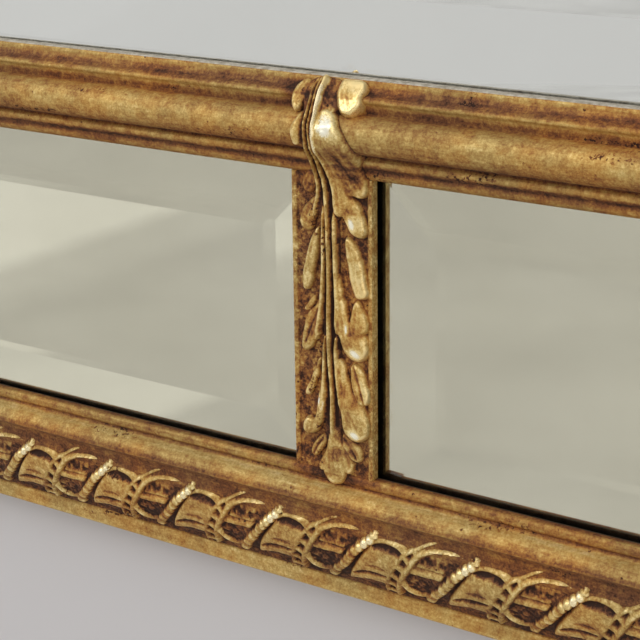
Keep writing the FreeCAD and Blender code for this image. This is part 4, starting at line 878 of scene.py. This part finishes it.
def carved_leaf(cell=0.34):
    """The leaf as heights over its skin, on a grid of places across it and along its path: the highest of its lobes
    and ribs at each place, which are rounded outlines and lines, less its folds."""
    path, normal, depth, even, table = leaf_path(cell)
    across = np.arange(-12.4, 14.6, cell)
    s, x = np.meshgrid(even, across, indexing="ij")

    def laid(points):
        return [(px, np.interp(po, np.arange(0, 126, 0.5), table)) for px, po in points]

    work = {"height": -depth[:, None] + 0 * x, "tone": 0.20 + 0 * x, "gloss": 0 * x}
    fine = ripple(s, x, 0.9, 61)
    coarse = ripple(s, x, 2.1, 62)

    def lobe(points, base, rise, roll, tone, gloss=0.0, rough=0.1, vein=None, tipped=True, soft=0.12):
        places = np.array(laid(points))
        inside = depth_in(x, s, places) + 0.10 * coarse
        reach, roll = places[:, 1], 0.75 * roll
        axis = places[np.hypot(*(places - places[0]).T).argmax()] - places[0]
        beside = ((x - places[0, 0]) * axis[1] - (s - places[0, 1]) * axis[0]) / np.hypot(*axis)
        flute = np.cos(2 * np.pi * beside / 1.55) * ease(0.2, 1.0, inside) * ease(3.0, 1.2, np.abs(beside))
        climb = 0.45 + 0.55 * ease(reach.min(), reach.min() + 0.8 * np.ptp(reach), s) if tipped else 1.0
        height = base + domed(inside, rise * climb, roll) + np.where(inside > 0, rough * (0.7 * fine + 0.6 * coarse), 0)
        height = height + 0.09 * flute
        # painted light and shade: lobes with gloss above 0.65 keep their full tone as a painted sheen while the rest
        # are dimmed, and the flutes are lighter on their ridges
        shine = (tone if gloss > 0.65 else 0.84 * tone) + 0.9 * rough * coarse + 0.05 * flute
        if vein:
            gap, _ = nearest(x, s, rounded(laid(vein)))
            groove = np.exp(-(gap / 0.38) ** 2)
            height, shine = height - 0.45 * groove, shine - 0.3 * groove
        raised(work, height, shine, gloss, soft)

    def rib(points, half, top, tone, gloss=0.3, ends=3.0, narrow=1.0):
        gap, reach = nearest(x, s, rounded(laid(points)))
        last = reach.max()
        half = half * (1 + (narrow - 1) * reach / last)
        thin = np.minimum(ease(-0.5, ends, reach), ease(last + 0.5, last - ends, reach))
        height = top * (0.35 + 0.65 * thin) - 1.7 * (gap / half) ** 2
        raised(work, np.where(gap < 1.6 * half, height, -9), tone + 0.05 * fine, gloss)

    for outline, *shape in LOBES:
        lobe(outline, *shape)
    for line, *shape in RIBS:
        rib(line, *shape)
    for line, half, deep, darkening in FOLDS:
        gap, _ = nearest(x, s, rounded(laid(line)))
        groove = np.exp(-(gap / half) ** 2) * (work["height"] > -1.2)
        work["height"] = work["height"] - deep * groove * 0.55
        work["tone"] = work["tone"] - darkening * groove
    # painted highlights: in soft spots the tone is pushed to full and the gloss raised
    painted_highlight = 0 * x
    for x_mid, out_mid, wide, long, lean in PAINTED_HIGHLIGHTS:
        spot = ((x - x_mid) / wide) ** 2 + ((path[:, 0][:, None] - out_mid - lean * (x - x_mid)) / long) ** 2
        painted_highlight = np.maximum(painted_highlight, 1.05 * np.exp(-spot ** 1.5))
    painted_highlight = painted_highlight * (work["height"] > -0.2) * ((x > 0.6) | (x < -3))
    work["tone"] = work["tone"] + (1.06 - work["tone"]) * painted_highlight
    work["gloss"] = np.maximum(work["gloss"], painted_highlight) * ease(0.5, 3.5, path[:, 0])[:, None]
    work["tone"] = work["tone"] - 0.2 * ease(1.8, 0.2, path[:, 0])[:, None]
    work["height"] = np.maximum(work["height"], -depth[:, None])
    # painted light and shade: places higher than their blurred surroundings are lighter, lower ones darker
    lift = work["height"] + np.minimum(depth[:, None], 2.0)
    work["tone"] = work["tone"] + 0.26 * np.clip(lift - blurred(lift, cell, cell, 0.8), -1, 0.7)
    work["tone"] = work["tone"] + 0.17 * np.clip(lift - blurred(lift, cell, cell, 2.4), -1.5, 1)
    # painted shade where the leaf turns down the underside of the round moulding
    work["tone"] = work["tone"] - 0.15 * ease(17, 24, path[:, 0])[:, None] * ease(31, 26, path[:, 0])[:, None]
    work["height"] = blurred(work["height"], cell, cell, 0.2)
    work["height"][[0, -1]] = -depth[[0, -1], None]
    work["height"][:, [0, -1]] = -depth[:, None]
    return path, normal, depth, across, s, work


LEAF, FAR_LEAF = carved_leaf(), carved_leaf(0.46)
LEAF_HIGHEST, SKIN_EDGE, SUNK, UNDER_STRAP, UNDER_RAIL = 2.25, 13.3, 1.2, 14.4, 13.4


def leaf(name, turn, half, corner, seed):
    """One carved leaf, draped along its path; at a corner the path is longer by the root of two, and each row is bent
    back beside the middle so that it follows both mouldings. On the strap the skin is squeezed in at its right edge,
    and the underside is sunk into the wood."""
    path, normal, depth, across, s, work = LEAF if name == "leaf_bottom" else FAR_LEAF
    out, height = path.T
    height_over = work["height"] + 0.05 * ripple(s, across[None] + 0 * s, 3.1, seed)
    lift = np.clip(height_over, -depth[:, None], LEAF_HIGHEST)
    place = out[:, None] + normal[:, :1] * lift
    level = height[:, None] + normal[:, 1:] * lift
    on_strap = ease(25.5, 28.6, out)[:, None]
    squeezed = np.where(across > SKIN_EDGE, SKIN_EDGE + 0.12 * (across - SKIN_EDGE), across)
    x = across + (squeezed - across) * on_strap
    low = np.stack([out, height], 1) - normal * (depth + SUNK)[:, None]
    low[:, 1] = np.maximum(low[:, 1], np.where(low[:, 0] > BLOCK_OUT, UNDER_STRAP, UNDER_RAIL))
    place = np.concatenate([place, low[:, :1], low[:, :1], low[:, :1]], 1)
    level = np.concatenate([level, low[:, 1:], low[:, 1:], low[:, 1:]], 1)
    x = np.concatenate([x, x[:, -1:], 0 * x[:, :1], x[:, :1]], 1)
    if corner:
        bend = 1 - 0.75 * ease(BLOCK_OUT, 60.0, place)
        place = place * math.sqrt(2) - np.abs(x) * bend
    rings = np.stack([x, -level, -place], -1)
    pad = ((0, 0), (0, 3))
    tone = np.pad(work["tone"] + 0.04 * ripple(s, across[None] + 0 * s, 7.0, seed + 1), pad, mode="edge")
    lay = np.stack([np.pad(s, pad, mode="edge"), x], -1)
    carried(name + "_carving", placed(rings, turn, half), name, GILT_LEAF,
            tone, np.pad(work["gloss"], pad, mode="edge"), lay, 80)


for number, (side, turn) in enumerate(TURNS.items()):
    leaf(f"leaf_{side}", turn, INNER_SIGHT, False, 150 + 3 * number)
for number, (corner, turn) in enumerate(CORNERS.items()):
    leaf(f"corner_leaf_{corner}", turn, INNER_SIGHT, True, 170 + 3 * number)


# Plates, panel and fittings

def dressed(names, material):
    """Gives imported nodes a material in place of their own."""
    for name in names:
        mesh = nodes[name].data
        mesh.materials.clear()
        mesh.materials.append(material)


def plate_glass():
    material, _, shader, _ = new_material("plate_glass")
    dial(shader, {"Base Color": (0.965, 0.985, 0.97, 1.0), "Roughness": 0.0, "IOR": 1.5, "Transmission Weight": 1.0})
    return material


GLASS = plate_glass()
# silver coats behind the glass, with faint clouds
MAIN_SILVER = painted("main_silver", 9.0, [(0.3, (0.87, 0.87, 0.86, 1.0)), (0.7, (0.90, 0.90, 0.89, 1.0))], 0.0,
                      Metallic=1.0)
# painted reflection: the border silver is darker and warmer, standing for the warm room seen in the border plates
BORDER_SILVER = painted("border_silver", 9.0, [(0.3, (0.50, 0.48, 0.395, 1.0)), (0.7, (0.545, 0.525, 0.44, 1.0))], 0.0,
                        Metallic=1.0)


def silver_sheet(node, material):
    """The silver coat of a plate: the outline of the plate's back, a little smaller, as a thin sheet inside the glass.
    It lies 1.2 mm in from the back, because the dark gaps in the photograph are those of a thinner glass."""
    mesh = nodes[node].data
    points = np.zeros(len(mesh.vertices) * 3, np.float32)
    mesh.vertices.foreach_get("co", points)
    points = points.reshape(-1, 3) / MM
    back = np.unique(points[points[:, 1] > points[:, 1].max() - 0.01][:, [0, 2]].round(2), axis=0)
    middle = back.mean(0)
    arms = back - middle
    outline = middle + arms[np.argsort(np.arctan2(arms[:, 1], arms[:, 0]))] * 0.9995
    level = points[:, 1].max()
    rings = np.stack([np.insert(outline, 1, level - gap, axis=1) for gap in (1.20, 1.26)])
    carried(node + "_silver", rings, None, material)


BORDER_PLATES = [name for name in nodes if name.startswith("border_plate")]
dressed(["main_plate"] + BORDER_PLATES, GLASS)
silver_sheet("main_plate", MAIN_SILVER)
for plate in BORDER_PLATES:
    silver_sheet(plate, BORDER_SILVER)


def zinc_steel():
    material, _, shader, place = new_material("zinc_steel")
    spangle = grain(place, 500.0, 3.0, 0.6)
    scuffs = grain(stretched(place, (300.0, 300.0, 2400.0)), 1.0, 3.0, 0.6)
    dial(shader, {"Metallic": 1.0})
    wire(ramp(spangle, [(0.35, shade(178, 176, 168)), (0.65, shade(206, 204, 198))]), shader.inputs["Base Color"])
    wire(ramp(scuffs, [(0.3, 0.28), (0.7, 0.44)]), shader.inputs["Roughness"])
    bumped(shader, scuffs, 0.01)
    return material


FELT_CARD = painted("felt_card", 900.0, [(0.3, shade(150, 144, 132)), (0.7, shade(182, 176, 163))], 0.95, 0.15,
                    rough=0.7)
RUBBER = painted("black_rubber", 1600.0, [(0.3, shade(38, 36, 35)), (0.7, shade(58, 56, 54))], 0.75, 0.05, 2.0, 0.5)
dressed(["main_backing", "border_backing"], FELT_CARD)
dressed(["outer_corner_keys", "inner_corner_keys", "back_panel"], BARE_WOOD)
dressed(["hanger_plate_left", "hanger_plate_right", "hanger_ring_left", "hanger_ring_right", "panel_screws",
         "hanger_screws"], zinc_steel())
dressed(["wall_bumpers"], RUBBER)


# Camera and light

def look(place, right, up, forward):
    """The camera, from its place and three axes that were fitted to the straight edges in the photograph."""
    camera = bpy.data.cameras.new("view")
    camera.lens, camera.sensor_width, camera.clip_start = 101.25, 36.0, 0.01
    thing = put("view", camera)
    columns = (right, up, tuple(-c for c in forward), place)
    thing.matrix_world = Matrix([[column[row] for column in columns] for row in range(3)] + [[0, 0, 0, 1]])
    bpy.context.scene.camera = thing


look((0.2804, -0.4287, -0.3093), (0.82455, 0.56566, -0.01207), (-0.16282, 0.25765, 0.95242),
     (-0.54185, 0.78335, -0.30455))

bpy.context.scene.view_settings.view_transform = "Standard"


def lamp(name, place, target, size, power):
    """A soft square lamp that faces its target."""
    light = bpy.data.lights.new(name, "AREA")
    light.size, light.energy = size, power
    thing = put(name, light)
    thing.location = place
    aim = np.array(target, float) - np.array(place, float)
    aim /= np.linalg.norm(aim)
    thing.rotation_euler = (math.acos(-aim[2]), 0, math.atan2(aim[0], -aim[1]) + math.pi)


lamp("top_softbox", (-0.6, -1.7, 1.8), (0, 0, -0.3), 3.0, 24)
lamp("key_softbox", (-1.6, -1.9, 1.1), (0, 0, -0.4), 0.9, 10)
lamp("side_softbox", (2.2, -1.8, 0.3), (0, 0, -0.3), 2.4, 15)
lamp("rear_softbox", (1.4, 2.2, 1.3), (0, 0, 0), 1.6, 16)


def seen_directly(tree, direct=1.0, mirrored=1.0):
    """One value where the eye sees a thing itself, one for its mirror image, and 0 where it only gives light."""
    path = tree.nodes.new("ShaderNodeLightPath")
    image = sum_of("MAXIMUM", path.outputs["Is Glossy Ray"], path.outputs["Is Transmission Ray"])
    return sum_of("MAXIMUM", times(path.outputs["Is Camera Ray"], direct), times(image, mirrored))


def plain_stage(name, corners, faces, colour, one_sided):
    """A flat sheet of the set. One that is one-sided lets a view from behind pass; the other, the floor, is as pale as
    the room in its mirror image."""
    mesh = bpy.data.meshes.new(name)
    mesh.from_pydata(corners, [], faces)
    sheet = put(name, mesh)
    material, tree, shader, place = new_material(name)
    dial(shader, {"Base Color": colour, "Roughness": 0.9, "Specular IOR Level": 0.1})
    if one_sided:
        clear = tree.nodes.new("ShaderNodeBsdfTransparent")
        mix = tree.nodes.new("ShaderNodeMixShader")
        wire(tree.nodes.new("ShaderNodeNewGeometry").outputs["Backfacing"], mix.inputs["Fac"])
        wire(shader.outputs[0], mix.inputs[1])
        wire(clear.outputs[0], mix.inputs[2])
        wire(mix.outputs[0], tree.nodes["Material Output"].inputs["Surface"])
    else:
        dial(shader, {"Emission Color": (1.0, 0.99, 0.97, 1.0)})
        # in the mirror image only: faint mottles, and a white strip 1.8 m to the left, which the bevels show
        split = tree.nodes.new("ShaderNodeSeparateXYZ")
        wire(place, split.inputs["Vector"])
        left = ramp(plus(split.outputs["X"], -1 / 0.6, -1.4 / 0.6),
                    [(0.18, 0.0), (0.34, 0.09), (0.46, 0.12), (0.58, 0.42)])
        near = ramp(plus(split.outputs["Y"], -1 / 1.2, -2.6 / 1.2), [(0.0, 1.0), (1.0, 0.0)])
        level = plus(left, near, plus(grain(place, 2.6, 3.0, 0.6), 0.30, 0.18))
        wire(seen_directly(tree, 0.12, level), shader.inputs["Emission Strength"])
    mesh.materials.append(material)


def rectangle(left, right, low, high, level, upright):
    """Four corners at one distance back, or at one height."""
    corners = ((left, low), (right, low), (right, high), (left, high))
    return [(x, level, y) if upright else (x, y, level) for x, y in corners]


# the wall is open behind the mirror, out to just inside its edges, so that daylight reaches the back
WALL_BACK, FLOOR_LEVEL = 0.0072, -1.1
plain_stage("wall", rectangle(-4, 4, FLOOR_LEVEL, 2.6, WALL_BACK, True)
            + rectangle(-0.427, 0.427, -0.557, 0.557, WALL_BACK, True),
            [(0, 1, 5, 4), (1, 2, 6, 5), (2, 3, 7, 6), (3, 0, 4, 7)], shade(220, 217, 216), True)
plain_stage("floor", rectangle(-9, 9, -9, 4, FLOOR_LEVEL, False), [(0, 1, 2, 3)], shade(206, 203, 196), False)


def sky():
    """Even pale light from all round, a little paler where it is seen."""
    world = bpy.data.worlds.new("room")
    bpy.context.scene.world = world
    world.use_nodes = True
    tree = world.node_tree
    back = tree.nodes["Background"]
    wire(ramp(seen_directly(tree), [(0.0, (0.45, 0.452, 0.475, 1.0)), (1.0, (0.64, 0.63, 0.62, 1.0))]),
         back.inputs["Color"])


sky()
